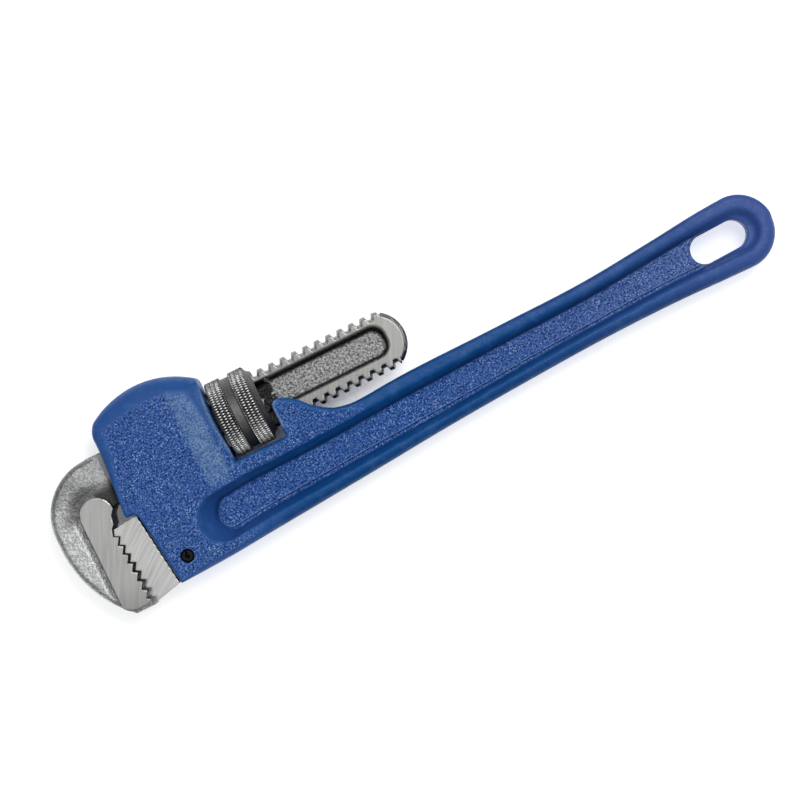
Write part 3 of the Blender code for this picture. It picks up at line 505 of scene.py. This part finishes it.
HOOK_OUTLINE = (
    [(-40.0, 10.4), (-58.0, 10.4)]
    + arc((-66.0, -14.3), 24.58, 90, 180, 30)
    + arc((-39.6, -18.6), 50.98, 180, 223, 24)
    + [(-74.2, HOOK_FOOT_Y), (-65.6, HOOK_FOOT_Y), (-66.3, -19.5), (-65.4, -15.0), (-63.4, -12.6)]
    + [(-58.0, -11.9), (-40.0, -11.9)]
)
PAD_OUTLINE = (
    arc((-70.7, -12.3), 7.2, -25, 180, 24)
    + [(-77.9, -51.6), (-74.0, HOOK_FOOT_Y), (-65.6, HOOK_FOOT_Y), (-66.3, -19.5)]
)
TEETH_RELIEF = (
    [(-66.6, -19.0), (-67.7, -20.4)]
    + hook_teeth()
    + [(-65.3, HOOK_FOOT_Y - 2), (-50.0, -60.0), (-50.0, -19.0)]
)


def thread_solid(x, y, z):
    """The screw's full round thread about the X axis."""
    radius = np.sqrt(y**2 + z**2)
    turn = np.arctan2(z, y) / (2 * math.pi)
    along = (x - CREST_AT_BACK_X) / PITCH - turn
    along = np.abs(along - np.round(along)) * PITCH
    flank = (along - CREST_WIDTH / 2 - (THREAD_RADIUS - radius) * FLANK_SLOPE) / math.hypot(1, FLANK_SLOPE)
    ridge = round_common(flank, radius - THREAD_RADIUS, 0.25)
    return np.minimum(radius - ROOT_RADIUS, ridge)


def shank(x, y, z):
    """Flat threaded bar with a chamfered round end and a pocket in each side."""
    depth = np.abs(z)
    radius = np.sqrt(y**2 + z**2)
    plain = box_2d(x, y, *PLAIN_BAR)
    runout = radius - np.interp(x, RUNOUT_X, RUNOUT_RADII)
    end = np.maximum(runout, RUNOUT_X[0] - x)
    threaded = np.maximum(thread_solid(x, y, z), np.maximum(x - THREAD_TO_X, THREAD_FROM_X - 0.4 - x))
    bar = np.minimum(np.minimum(plain, threaded), end)
    round_end = np.sqrt(np.maximum(x - SHANK_END_CENTRE_X, 0.0) ** 2 + y**2) - SHANK_END_RADIUS
    envelope = np.maximum(np.abs(y) - SHANK_HALF_HEIGHT, round_end)
    chamfer = (depth - SHANK_HALF + envelope + 1.4 * smooth(x, 67.6, 70.4)) / math.sqrt(2)
    bar = np.maximum(bar, envelope)
    bar = np.where(x > 62.0, np.maximum(bar, chamfer), bar)
    bar = round_common(bar, depth - SHANK_HALF, 0.3)
    pocket = box_2d(x, y, *SHANK_POCKET, SHANK_POCKET_CORNER)
    run = 1.5 + 0.9 * smooth(y, -3.5, 5.0)
    wall = (pocket + run * (SHANK_HALF - depth) / SHANK_POCKET_DEPTH) * SHANK_POCKET_DEPTH
    wall = wall / np.sqrt(SHANK_POCKET_DEPTH**2 + run**2)
    floor = SHANK_HALF - SHANK_POCKET_DEPTH - depth
    return round_common(bar, -round_common(wall, floor, 0.5), 0.3)


def hook(x, y, z):
    """The hook with its milled pads and cut teeth, on its shank."""
    depth = np.abs(z)
    relief = polygon(x, y, TEETH_RELIEF)
    outline = np.maximum(polygon(x, y, HOOK_OUTLINE), -relief)
    pad = polygon(x, y, PAD_OUTLINE)
    ditch = 3.4 + 4.5 * smooth(y, -12.0, -3.0)
    crest = 6.9 + 1.3 * smooth(pad, 0.2, ditch)
    half = SHANK_HALF + (crest - SHANK_HALF) * smooth(-x, 60.8, 73.0)
    edge = 1.2 + 1.6 * smooth(-x, 59.0, 66.0) * np.clip(smooth(-x, 70.0, 73.0) + smooth(y, -8.0, 0.0), 0, 1)
    forging = round_common(outline, depth - half, edge)
    forging = np.maximum(forging, x - FORGING_END_X)
    pad_edge = 0.35 + 1.9 * smooth(-y, 52.6, 54.4)
    milled = round_common(np.maximum(pad, outline), depth - PAD_HALF, pad_edge)
    return np.minimum(np.minimum(forging, milled), shank(x, y, z))


def make_hook():
    xs = spaced((-91.4, -58.0, 0.5), (-58.0, -14.0, 1.3), (-14.0, 76.4, 0.42))
    ys = spaced((-56.4, -13.2, 0.52), (-13.2, 13.2, 0.42))
    zs = spaced((-10.1, 10.1, 0.5))
    points, quads = dual_contour(hook, xs, ys, zs)
    piece = mesh_piece("hook_forging", points, quads, 32.0)
    x, y, z = points.T
    on_pad = smooth(np.abs(z), 9.2, 9.5) * smooth(-x, 60.0, 61.0)
    on_shank = smooth(np.abs(z), 4.9, 5.2) * smooth(x, -61.0, -60.0)
    teeth = smooth(np.sqrt(y**2 + z**2), 9.0, 9.6) * smooth(x, THREAD_FROM_X - 1.0, THREAD_FROM_X)
    relief = polygon(x, y, TEETH_RELIEF)
    saw = smooth(relief, -0.5, 0.5) * smooth(-np.abs(relief), -0.4, -0.1)
    milled = np.clip(on_pad + on_shank + teeth + saw, 0.0, 1.0)
    # painted shade: a near-black patch on the shank beside the nut's rear
    nut_side_shade = smooth(x, 8.0, 10.0) * smooth(-x, -16.8, -16.4) * smooth(-y, -8.3, -8.0)
    # painted shade on the walls of the shank's side pockets, strongest on the upper wall
    wall = smooth(np.abs(z), SHANK_HALF - SHANK_POCKET_DEPTH + 0.1, SHANK_HALF - SHANK_POCKET_DEPTH + 0.4)
    wall = wall * smooth(-np.abs(z), -SHANK_HALF + 0.1, -SHANK_HALF + 0.3) * smooth(-np.abs(y), -8.5, -8.2)
    wall = wall * smooth(x, -50.0, -40.0) * smooth(-x, -69.5, -68.5) * (0.72 + 0.28 * smooth(y, -4.0, 4.0))
    # painted shading: round the pads, over the hook's upper half, at the pads' foot, on the neck, in the
    # lowest teeth and under the shank's lower thread
    beside = polygon(x, y, PAD_OUTLINE)
    shade = 0.34 * smooth(-beside, -3.6, -0.6) + 0.44 * smooth(y, -9.0, 0.0)
    shade = np.maximum(shade, 0.76 * smooth(-beside, -10.0, -3.0) * smooth(y, -16.0, -8.0))
    neck = 0.97 * smooth(x, -76.0, -67.0) * smooth(-y, -5.0, 6.0) * smooth(y, -22.0, -20.0)
    shade = np.maximum(shade, neck)
    shade = np.where(on_pad > 0.5, 0.26 * smooth(-y, 40.0, 56.0), shade) * smooth(-x, 54.0, 60.0)
    side = smooth(-np.abs(z), -9.4, -9.0)
    shade = np.maximum(shade, 0.80 * saw * side * smooth(-y, 44.0, 49.0))
    under = smooth(-y, 9.4, 10.2) * smooth(x, 12.0, 16.0) * smooth(-np.abs(z), -5.3, -5.0)
    shade = np.maximum(shade, 0.88 * under)
    paint_attribute(piece, "shade", shade)
    paint_attribute(piece, "milled", milled)
    paint_attribute(piece, "nut_side_shade", nut_side_shade)
    paint_attribute(piece, "wall", wall)
    paint_attribute(piece, "bar", smooth(x, -62.0, -22.0))
    return piece


# ---------------------------------------------------------------- heel jaw

HEEL_HALF = 9.6
TONGUE = (-62.0, -39.0, -49.5, -27.0)  # low x, high x, low y, high y
TONGUE_CORNER = 0.5
TONGUE_HALF = 4.6
TONGUE_FROM_X = -58.0
TONGUE_HOLE_RADIUS = 2.75


def heel(x, y, z):
    """The toothed insert with the tongue that the pin goes through."""
    saw = heel_teeth()
    outline = saw + [(saw[-1][0] - 0.3, -54.7), (-52.6, -52.1), (-56.4, -19.35), (saw[0][0] + 0.9, -20.7)]
    depth = np.abs(z)
    jaw = round_common(polygon(x, y, outline), depth - HEEL_HALF, 0.3)
    tongue = np.maximum(box_2d(x, y, *TONGUE, TONGUE_CORNER), depth - TONGUE_HALF)
    tongue = np.maximum(tongue, TONGUE_FROM_X - x)
    hole = TONGUE_HOLE_RADIUS - np.sqrt((x - PIN_AT[0]) ** 2 + (y - PIN_AT[1]) ** 2)
    return np.minimum(jaw, np.maximum(tongue, hole))


def make_heel():
    xs = spaced((-70.0, -52.0, 0.33), (-52.0, -38.0, 0.6))
    points, quads = dual_contour(heel, xs, spaced((-55.5, -18.6, 0.33)), spaced((-10.0, 10.0, 0.4)))
    return mesh_piece("heel_insert", points, quads, 28.0)


# ---------------------------------------------------------------- adjusting nut

NUT_PROFILE = (  # x, radius
    (-8.7, 15.7), (-8.45, 16.2), (-8.1, 16.5), (-2.3, 16.5), (-2.0, 16.2), (-1.75, 15.5), (-1.5, 15.4),
    (1.5, 15.4), (1.75, 15.5), (2.0, 16.2), (2.3, 16.5), (8.1, 16.5), (8.45, 16.2), (8.7, 15.7), (8.85, 15.2),
    (9.6, 14.0), (10.7, 13.4), (10.9, 13.2),
)
KNURL_TEETH = 86
KNURL_LEAD = 3.7
KNURL_DEPTH = 0.8
NUT_SEGMENTS = KNURL_TEETH * 6
GROOVE_HALF_WIDTH = 0.27  # share of a knurl tooth
BORE_ROWS = 48
BORE_CREST_HALF = 1.25
THREAD_CLEARANCE = 0.4


def groove(t):
    """1 at the bottom of a knurl groove, 0 on its tips."""
    return np.clip(1.0 - np.abs(t - np.round(t)) / GROOVE_HALF_WIDTH, 0.0, 1.0)


def nut_surface():
    """Rings of the nut from the front rim over the grip bands to the hub and back through the thread."""
    px, pr = np.array(NUT_PROFILE).T
    rim = -px[0]
    x_out = np.unique(np.concatenate([np.arange(-rim, rim + 0.01, 0.25), px]))
    angle = np.arange(NUT_SEGMENTS) * 2 * math.pi / NUT_SEGMENTS
    teeth = angle * KNURL_TEETH / (2 * math.pi)
    x = x_out[:, None]
    outer = np.interp(x_out, px, pr)[:, None] + 0.0 * angle
    banded = smooth(np.abs(x), 1.9, 2.4) * smooth(-np.abs(x), -8.6, -8.2)
    cuts = np.maximum(groove(teeth + x / KNURL_LEAD), groove(teeth - x / KNURL_LEAD)) * banded
    outer = outer - KNURL_DEPTH * cuts
    # the knurl's tips worn bright, with a painted sheen strongest on tips facing the wrench's flat sides
    tip_wear_and_sheen = banded * (1.0 - cuts) ** 1.5 * (0.5 + 0.5 * smooth(np.abs(np.sin(angle)), 0.3, 0.85))
    x_in = np.linspace(px[-1], px[0], BORE_ROWS)[:, None]
    along = (x_in - CREST_AT_BACK_X) / PITCH - angle / (2 * math.pi)
    along = np.abs(along - np.round(along)) * PITCH
    radii = [THREAD_RADIUS + THREAD_CLEARANCE, ROOT_RADIUS + THREAD_CLEARANCE]
    inner = np.interp(along, [BORE_CREST_HALF, BORE_CREST_HALF + FLANK], radii)
    rows_x = np.concatenate([x + 0.0 * angle, x_in + 0.0 * angle])
    rows_r = np.concatenate([outer, inner])
    tips = np.concatenate([tip_wear_and_sheen, np.zeros(inner.shape)])
    bands = np.concatenate([banded + 0.0 * angle, np.zeros(inner.shape)])
    points = np.stack([rows_x, rows_r * np.cos(angle), rows_r * np.sin(angle)], axis=2)
    rows, columns = rows_r.shape
    low = np.arange(rows)[:, None] * columns
    high = (np.arange(rows)[:, None] + 1) % rows * columns
    here = np.arange(columns)
    there = (here + 1) % columns
    quads = np.stack([low + here, low + there, high + there, high + here], axis=2)
    return points.reshape(-1, 3), quads.reshape(-1, 4), tips.ravel(), bands.ravel()


def make_nut():
    points, quads, tips, bands = nut_surface()
    piece = mesh_piece("knurled_nut", points, quads, 50.0)
    paint_attribute(piece, "tips", tips)
    paint_attribute(piece, "knurled", bands)
    return piece


# ---------------------------------------------------------------- materials

RANGE_SOCKETS = ("From Min", "From Max", "To Min", "To Max")
ENAMEL_HEAD = (0.0240, 0.0960, 0.3300)
ENAMEL_HANDLE = (0.0045, 0.0820, 0.2950)
ENAMEL_END = (0.0550, 0.1050, 0.3550)
HEAD_FADE_X = (-0.090, -0.065)  # metres, from the head's enamel tone to the handle's
END_FADE_X = (0.0, 0.16)  # metres, towards the tone of the handle's end
# painted shade just under and painted highlight just over the web's fine step
STEP_SHADE_AND_HIGHLIGHT = (  # millimetres above the web's step, strength, colour
    (-0.22, 0.80, (0.003, 0.030, 0.130)),
    (0.22, 0.50, (0.230, 0.400, 0.780)),
)
# dark tone of the forging's painted shade
PAINTED_SHADE_TONE = (0.028, 0.028, 0.026)
# painted shade beside the nut, with pale painted glossy highlights in it
NUT_SIDE_SHADE_TONE = (0.010, 0.010, 0.010)
PAINTED_GLOSS_TONE = (0.55, 0.54, 0.50)

class Graph:
    """A material's node tree with short calls for its nodes."""

    def __init__(self, name):
        self.material = bpy.data.materials.new(name)
        self.material.use_nodes = True
        self.tree = self.material.node_tree
        self.shader = self.tree.nodes["Principled BSDF"]
        self.place = self.add("ShaderNodeTexCoord").outputs["Object"]

    def add(self, kind, **settings):
        node = self.tree.nodes.new(kind)
        for key, value in settings.items():
            setattr(node, key, value)
        return node

    def wire(self, node, key, value):
        if isinstance(value, bpy.types.NodeSocket):
            self.tree.links.new(value, node.inputs[key])
        else:
            node.inputs[key].default_value = value

    def math(self, operation, a, b=0.0):
        node = self.add("ShaderNodeMath", operation=operation)
        self.wire(node, 0, a)
        self.wire(node, 1, b)
        return node.outputs[0]

    def noise(self, scale, detail=2.0, roughness=0.5, stretch=(1.0, 1.0, 1.0), turn_deg=0.0):
        """Noise of about 1/scale metres, stretched after a turn about Z."""
        place = self.place
        if stretch != (1.0, 1.0, 1.0) or turn_deg:
            turned = self.add("ShaderNodeMapping")
            self.wire(turned, "Vector", place)
            turned.inputs["Rotation"].default_value = (0.0, 0.0, math.radians(turn_deg))
            scaled = self.add("ShaderNodeMapping")
            self.wire(scaled, "Vector", turned.outputs[0])
            scaled.inputs["Scale"].default_value = stretch
            place = scaled.outputs[0]
        node = self.add("ShaderNodeTexNoise")
        self.wire(node, "Vector", place)
        self.wire(node, "Scale", scale)
        self.wire(node, "Detail", detail)
        self.wire(node, "Roughness", roughness)
        return node.outputs["Fac"]

    def cells(self, scale):
        """Distance to the nearest of scattered points."""
        node = self.add("ShaderNodeTexVoronoi", feature="F1")
        self.wire(node, "Vector", self.place)
        self.wire(node, "Scale", scale)
        return node.outputs["Distance"]

    def attribute(self, name):
        return self.add("ShaderNodeAttribute", attribute_name=name).outputs["Fac"]

    def ranged(self, value, from_low, from_high, to_low=0.0, to_high=1.0):
        node = self.add("ShaderNodeMapRange", clamp=True)
        self.wire(node, "Value", value)
        for key, number in zip(RANGE_SOCKETS, (from_low, from_high, to_low, to_high)):
            self.wire(node, key, number)
        return node.outputs[0]

    def mix(self, factor, first, second):
        """Colour between two colours."""
        node = self.add("ShaderNodeMix", data_type="RGBA")
        for index, value in ((0, factor), (6, first), (7, second)):
            if isinstance(value, tuple):
                value = (*value, 1.0)
            self.wire(node, index, value)
        return node.outputs[2]

    def bump(self, height, distance, strength=1.0, below=None):
        node = self.add("ShaderNodeBump")
        self.wire(node, "Strength", strength)
        self.wire(node, "Distance", distance)
        self.wire(node, "Height", height)
        if below is not None:
            self.wire(node, "Normal", below)
        return node.outputs[0]

    def finish(self, color, roughness, metallic, normal=None, specular=0.5):
        self.wire(self.shader, "Base Color", (*color, 1.0) if isinstance(color, tuple) else color)
        self.wire(self.shader, "Roughness", roughness)
        self.wire(self.shader, "Metallic", metallic)
        self.shader.inputs["Specular IOR Level"].default_value = specular
        if normal is not None:
            self.wire(self.shader, "Normal", normal)
        return self.material


def blue_enamel():
    """Sprayed enamel over a sand-cast skin: grainy on the cheeks and the web, smooth on the worked edges;
    with painted glints, highlights and shade.
    """
    g = Graph("blue_enamel_look")
    names = ("cheek", "web", "band", "edge", "deep", "seam")
    cheek, web, band, edge, deep, above_seam = (g.attribute(name) for name in names)
    rough = g.math("MAXIMUM", cheek, web)
    grain = g.noise(1250.0, 3.0, 0.72)
    coarse = g.noise(420.0, 2.0, 0.5)
    patches = g.ranged(g.noise(170.0, 2.0), 0.38, 0.62, 0.35, 1.0)
    height = g.math("ADD", grain, g.math("MULTIPLY", coarse, 0.6))
    amount = g.ranged(rough, 0.0, 1.0, 0.04, 1.0)
    split = g.add("ShaderNodeSeparateXYZ")
    g.wire(split, 0, g.place)
    along = split.outputs[0]
    base = g.mix(g.ranged(along, *HEAD_FADE_X), ENAMEL_HEAD, ENAMEL_HANDLE)
    far = g.ranged(along, *END_FADE_X)
    base = g.mix(g.math("MULTIPLY", far, far), base, ENAMEL_END)
    base = g.mix(g.ranged(g.noise(28.0, 3.0, 0.55), 0.35, 0.65, 0.0, 0.16), base, (0.003, 0.055, 0.210))
    lumps = g.noise(150.0, 3.0, 0.6)
    base = g.mix(g.ranged(lumps, 0.52, 0.66, 0.0, 0.22), base, (0.060, 0.180, 0.460))
    base = g.mix(g.math("MULTIPLY", rough, 0.52), base, (0.0580, 0.1580, 0.5750))
    base = g.mix(g.math("MULTIPLY", far, g.math("MULTIPLY", web, 0.45)), base, (0.190, 0.250, 0.500))
    pits = g.math("MULTIPLY", g.ranged(grain, 0.48, 0.41), rough)
    base = g.mix(g.math("MULTIPLY", pits, 0.92), base, (0.003, 0.028, 0.130))
    # painted highlights: light specks on the grain's raised tops
    grain_highlights = g.math("MULTIPLY", g.ranged(grain, 0.53, 0.62, 0.0, 0.55), rough)
    base = g.mix(grain_highlights, base, (0.220, 0.390, 0.820))
    glints = g.math("MULTIPLY", g.ranged(g.cells(1050.0), 0.36, 0.16), patches)
    base = g.mix(g.math("MULTIPLY", glints, g.math("MULTIPLY", rough, 0.92)), base, (0.460, 0.630, 1.0))
    # painted highlight: a patchy sheen on the sloped band at the head's rear
    band_highlight = g.math("MULTIPLY", g.math("MULTIPLY", band, g.ranged(patches, 0.35, 1.0, 0.72, 1.12)),
                  g.ranged(grain, 0.42, 0.58, 0.30, 0.74))
    base = g.mix(band_highlight, base, (0.255, 0.425, 0.700))
    # painted shade: the pocket walls' foot, the lower flank and a line along the upper edge
    base = g.mix(g.math("MULTIPLY", deep, 0.78), base, (0.0015, 0.016, 0.080))
    # painted shade and painted highlight: a dark line under and a pale line over the web's fine step
    for height_mm, strength, tint in STEP_SHADE_AND_HIGHLIGHT:
        away = g.math("ABSOLUTE", g.math("SUBTRACT", above_seam, height_mm))
        line = g.math("MULTIPLY", g.ranged(away, 0.32, 0.12, 0.0, strength), web)
        base = g.mix(line, base, tint)
    # painted highlight along the head's rear edge and the saddle's front edge
    base = g.mix(g.math("MULTIPLY", edge, g.ranged(grain, 0.40, 0.55, 0.10, 0.62)), base, (0.36, 0.52, 0.78))
    normal = g.bump(height, 0.0010, amount, below=g.bump(lumps, 0.0016, 0.45))
    shine = g.ranged(g.noise(300.0, 2.0), 0.3, 0.7, 0.34, 0.48)
    return g.finish(base, shine, 0.0, normal, specular=0.17)


def forged_steel():
    """Blasted forging skin with milled faces, darkened along the shank; painted shade round the pads, on the
    neck, in the pockets and beside the nut, with painted glossy highlights there.
    """
    g = Graph("forged_steel_look")
    names = ("milled", "nut_side_shade", "wall", "bar", "shade")
    milled, nut_side_shade, wall, bar, shade = (g.attribute(name) for name in names)
    speck = g.noise(1000.0, 3.0, 0.65)
    coarse = g.noise(260.0, 2.0, 0.5)
    low = g.mix(bar, (0.38, 0.38, 0.38), (0.16, 0.16, 0.16))
    high = g.mix(bar, (0.66, 0.66, 0.66), (0.92, 0.92, 0.92))
    blasted = g.mix(g.ranged(speck, 0.40, 0.60), low, high)
    blasted = g.mix(g.ranged(coarse, 0.4, 0.7, 0.0, 0.22), blasted, (0.34, 0.34, 0.34))
    lines = g.noise(60.0, 2.0, 0.5, stretch=(18.0, 1.0, 1.0), turn_deg=26.0)
    flat = g.mix(g.ranged(lines, 0.3, 0.7), (0.36, 0.358, 0.345), (0.45, 0.448, 0.432))
    color = g.mix(milled, blasted, flat)
    color = g.mix(g.math("MULTIPLY", bar, g.ranged(milled, 0.0, 1.0, 0.64, 0.50)), color, (0.03, 0.03, 0.026))
    # painted shade round the pads, on the neck, in the lowest teeth and under the thread
    color = g.mix(shade, color, PAINTED_SHADE_TONE)
    # painted shade on the shank pockets' walls
    color = g.mix(g.math("MULTIPLY", wall, 0.9), color, (0.018, 0.018, 0.018))
    # painted shade beside the nut, with painted glossy highlights
    color = g.mix(g.math("MULTIPLY", nut_side_shade, g.ranged(speck, 0.70, 0.55, 0.72, 0.95)), color, NUT_SIDE_SHADE_TONE)
    gloss_spots = g.math("MULTIPLY", nut_side_shade, g.ranged(g.noise(330.0, 1.0), 0.60, 0.66, 0.0, 0.55))
    color = g.mix(gloss_spots, color, PAINTED_GLOSS_TONE)
    roughness = g.ranged(milled, 0.0, 1.0, 0.46, 0.38)
    height = g.math("MULTIPLY", g.math("ADD", speck, coarse), g.ranged(milled, 0.0, 1.0, 1.0, 0.06))
    return g.finish(color, roughness, 1.0, g.bump(height, 0.00026))


def ground_steel():
    """Bright steel with slanting grinding lines."""
    g = Graph("ground_steel_look")
    lines = g.noise(45.0, 3.0, 0.6, stretch=(1.0, 26.0, 1.0), turn_deg=-38.0)
    blotch = g.noise(70.0, 2.0)
    color = g.mix(g.ranged(lines, 0.32, 0.68), (0.42, 0.416, 0.408), (0.60, 0.595, 0.58))
    color = g.mix(g.ranged(blotch, 0.4, 0.7, 0.0, 0.35), color, (0.47, 0.455, 0.455))
    return g.finish(color, g.ranged(lines, 0.3, 0.7, 0.34, 0.46), 1.0, g.bump(lines, 0.00003))


def phosphate_steel():
    """Dark coating, worn bright on the knurl's tips, with a painted sheen on the tips that face the wrench's
    flat sides.
    """
    g = Graph("phosphate_steel_look")
    tips = g.attribute("tips")
    wear_and_sheen = g.math("MULTIPLY", tips, g.ranged(g.noise(500.0, 2.0), 0.3, 0.55, 0.6, 1.0))
    knurled = g.attribute("knurled")
    dark = g.mix(g.noise(900.0, 3.0), (0.09, 0.09, 0.09), (0.22, 0.22, 0.217))
    dark = g.mix(knurled, dark, (0.014, 0.014, 0.014))
    color = g.mix(g.ranged(wear_and_sheen, 0.16, 0.90), dark, (0.93, 0.925, 0.91))
    roughness = g.ranged(wear_and_sheen, 0.0, 0.6, 0.55, 0.44)
    return g.finish(color, roughness, 1.0, g.bump(g.noise(1400.0, 3.0), 0.00006))


def spring_steel():
    """Near-black hardened steel."""
    g = Graph("spring_steel_look")
    streaks = g.noise(90.0, 3.0, 0.6, stretch=(1.0, 1.0, 6.0))
    color = g.mix(g.ranged(streaks, 0.35, 0.65), (0.005, 0.005, 0.005), (0.018, 0.018, 0.018))
    return g.finish(color, g.ranged(streaks, 0.3, 0.7, 0.3, 0.5), 1.0, g.bump(streaks, 0.00003))


FLOOR_HALF = 3.0  # metres
FLOOR_DROP = 0.0004  # metres below the lowest point of the object
FLOOR_GLOW = 0.55
GAP_REACH = 0.045  # metres within which the object's walls close off the floor
GAP_CLOSED = 0.08  # share of open sky over the floor in a tight gap
GAP_OPEN = 0.24


def pale_floor():
    """Even, glowing table top, whose glow fades only where the object's walls close it in."""
    g = Graph("pale_floor")
    tone = g.ranged(g.noise(9.0, 2.0), 0.3, 0.7, 0.90, 0.92)
    joined = g.add("ShaderNodeCombineColor")
    for channel in ("Red", "Green", "Blue"):
        g.wire(joined, channel, tone)
    sky = g.add("ShaderNodeAmbientOcclusion", samples=16)
    g.wire(sky, "Distance", GAP_REACH)
    g.shader.inputs["Emission Color"].default_value = (1.0, 1.0, 1.0, 1.0)
    g.wire(g.shader, "Emission Strength", g.ranged(sky.outputs["AO"], GAP_CLOSED, GAP_OPEN, 0.0, FLOOR_GLOW))
    return g.finish(joined.outputs[0], 0.9, 0.0, specular=0.1)


# ---------------------------------------------------------------- studio

CAMERA_AT = (-9.28, -11.70, 1026.5)  # millimetres
CAMERA_RIGHT = (0.8965, -0.4430, 0.0)
CAMERA_UP = (0.4430, 0.8965, 0.0)
CAMERA_LENS = 110.05
CAMERA_SENSOR = 36.0
OVERHEAD_LEAN = 0.11  # how far the bright overhead leans towards the view's top


def studio_point(right, up, height):
    """World point by its offsets from the camera's axis along the view's sides, in metres."""
    axis = Vector((CAMERA_AT[0] * MM, CAMERA_AT[1] * MM, height))
    return axis + Vector(CAMERA_RIGHT) * right + Vector(CAMERA_UP) * up


def make_camera():
    data = bpy.data.cameras.new("camera")
    data.lens = CAMERA_LENS
    data.sensor_width = CAMERA_SENSOR
    camera = bpy.data.objects.new("camera", data)
    right, up = Vector(CAMERA_RIGHT).normalized(), Vector(CAMERA_UP).normalized()
    turn = Matrix((right, up, right.cross(up))).transposed().to_4x4()
    camera.matrix_world = Matrix.Translation(Vector(CAMERA_AT) * MM) @ turn
    bpy.context.scene.collection.objects.link(camera)
    bpy.context.scene.camera = camera


def soft_light(name, at, size, power):
    """Square softbox that faces the object."""
    data = bpy.data.lights.new(name, "AREA")
    data.shape = "SQUARE"
    data.size = size
    data.energy = power
    light = bpy.data.objects.new(name, data)
    light.location = at
    light.rotation_euler = (studio_point(0.0, 0.0, 0.0) - at).to_track_quat("-Z", "Y").to_euler()
    bpy.context.scene.collection.objects.link(light)


def make_studio():
    """A light tent: bright overhead and a little towards the view's top, dark along the horizon."""
    soft_light("key", studio_point(0.16, 0.30, 1.12), 0.3, 4.0)
    world = bpy.data.worlds.new("studio")
    world.use_nodes = True
    tree = world.node_tree
    sky = tree.nodes["Background"]
    sky.inputs["Color"].default_value = (0.97, 0.985, 1.0, 1.0)
    place = tree.nodes.new("ShaderNodeTexCoord")
    ramps = []
    for way, low, high, to_low, to_high in (
        ((OVERHEAD_LEAN * CAMERA_UP[0], OVERHEAD_LEAN * CAMERA_UP[1], 0.994), 0.34, 0.92, 0.02, 0.85),
        (CAMERA_UP, 0.1, 0.9, 0.0, 0.14),
    ):
        lean = tree.nodes.new("ShaderNodeVectorMath")
        lean.operation = "DOT_PRODUCT"
        lean.inputs[1].default_value = way
        tree.links.new(place.outputs["Generated"], lean.inputs[0])
        ramp = tree.nodes.new("ShaderNodeMapRange")
        for key, number in zip(RANGE_SOCKETS, (low, high, to_low, to_high)):
            ramp.inputs[key].default_value = number
        tree.links.new(lean.outputs["Value"], ramp.inputs["Value"])
        ramps.append(ramp.outputs[0])
    total = tree.nodes.new("ShaderNodeMath")
    tree.links.new(ramps[0], total.inputs[0])
    tree.links.new(ramps[1], total.inputs[1])
    tree.links.new(total.outputs[0], sky.inputs["Strength"])
    bpy.context.scene.world = world
    bpy.context.scene.view_settings.view_transform = "Standard"
    corners = [(FLOOR_HALF * a, FLOOR_HALF * b, 0) for a, b in ((-1, -1), (1, -1), (1, 1), (-1, 1))]
    mesh = bpy.data.meshes.new("floor")
    mesh.from_pydata(corners, [], [(0, 1, 2, 3)])
    floor = bpy.data.objects.new("floor", mesh)
    floor.location.z = -FLOOR_DROP
    mesh.materials.append(pale_floor())
    bpy.context.scene.collection.objects.link(floor)


def stand_for(piece, node, body, material):
    """The detailed piece takes the CAD node's place on its body."""
    piece.data.materials.clear()
    piece.data.materials.append(material)
    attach(piece, body)
    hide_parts(node)


def main():
    spring = spring_steel()
    stand_for(make_casting(), "handle_housing", "handle", blue_enamel())
    stand_for(make_heel(), "heel_jaw", "handle", ground_steel())
    stand_for(make_hook(), "hook_jaw", "hook", forged_steel())
    stand_for(make_nut(), "adjusting_nut", "nut", phosphate_steel())
    for node in ("heel_jaw_pin", "flat_spring", "coil_spring"):
        shown = frame["nodes"][node]
        shown.data.materials.clear()
        shown.data.materials.append(spring)
    make_camera()
    make_studio()


main()
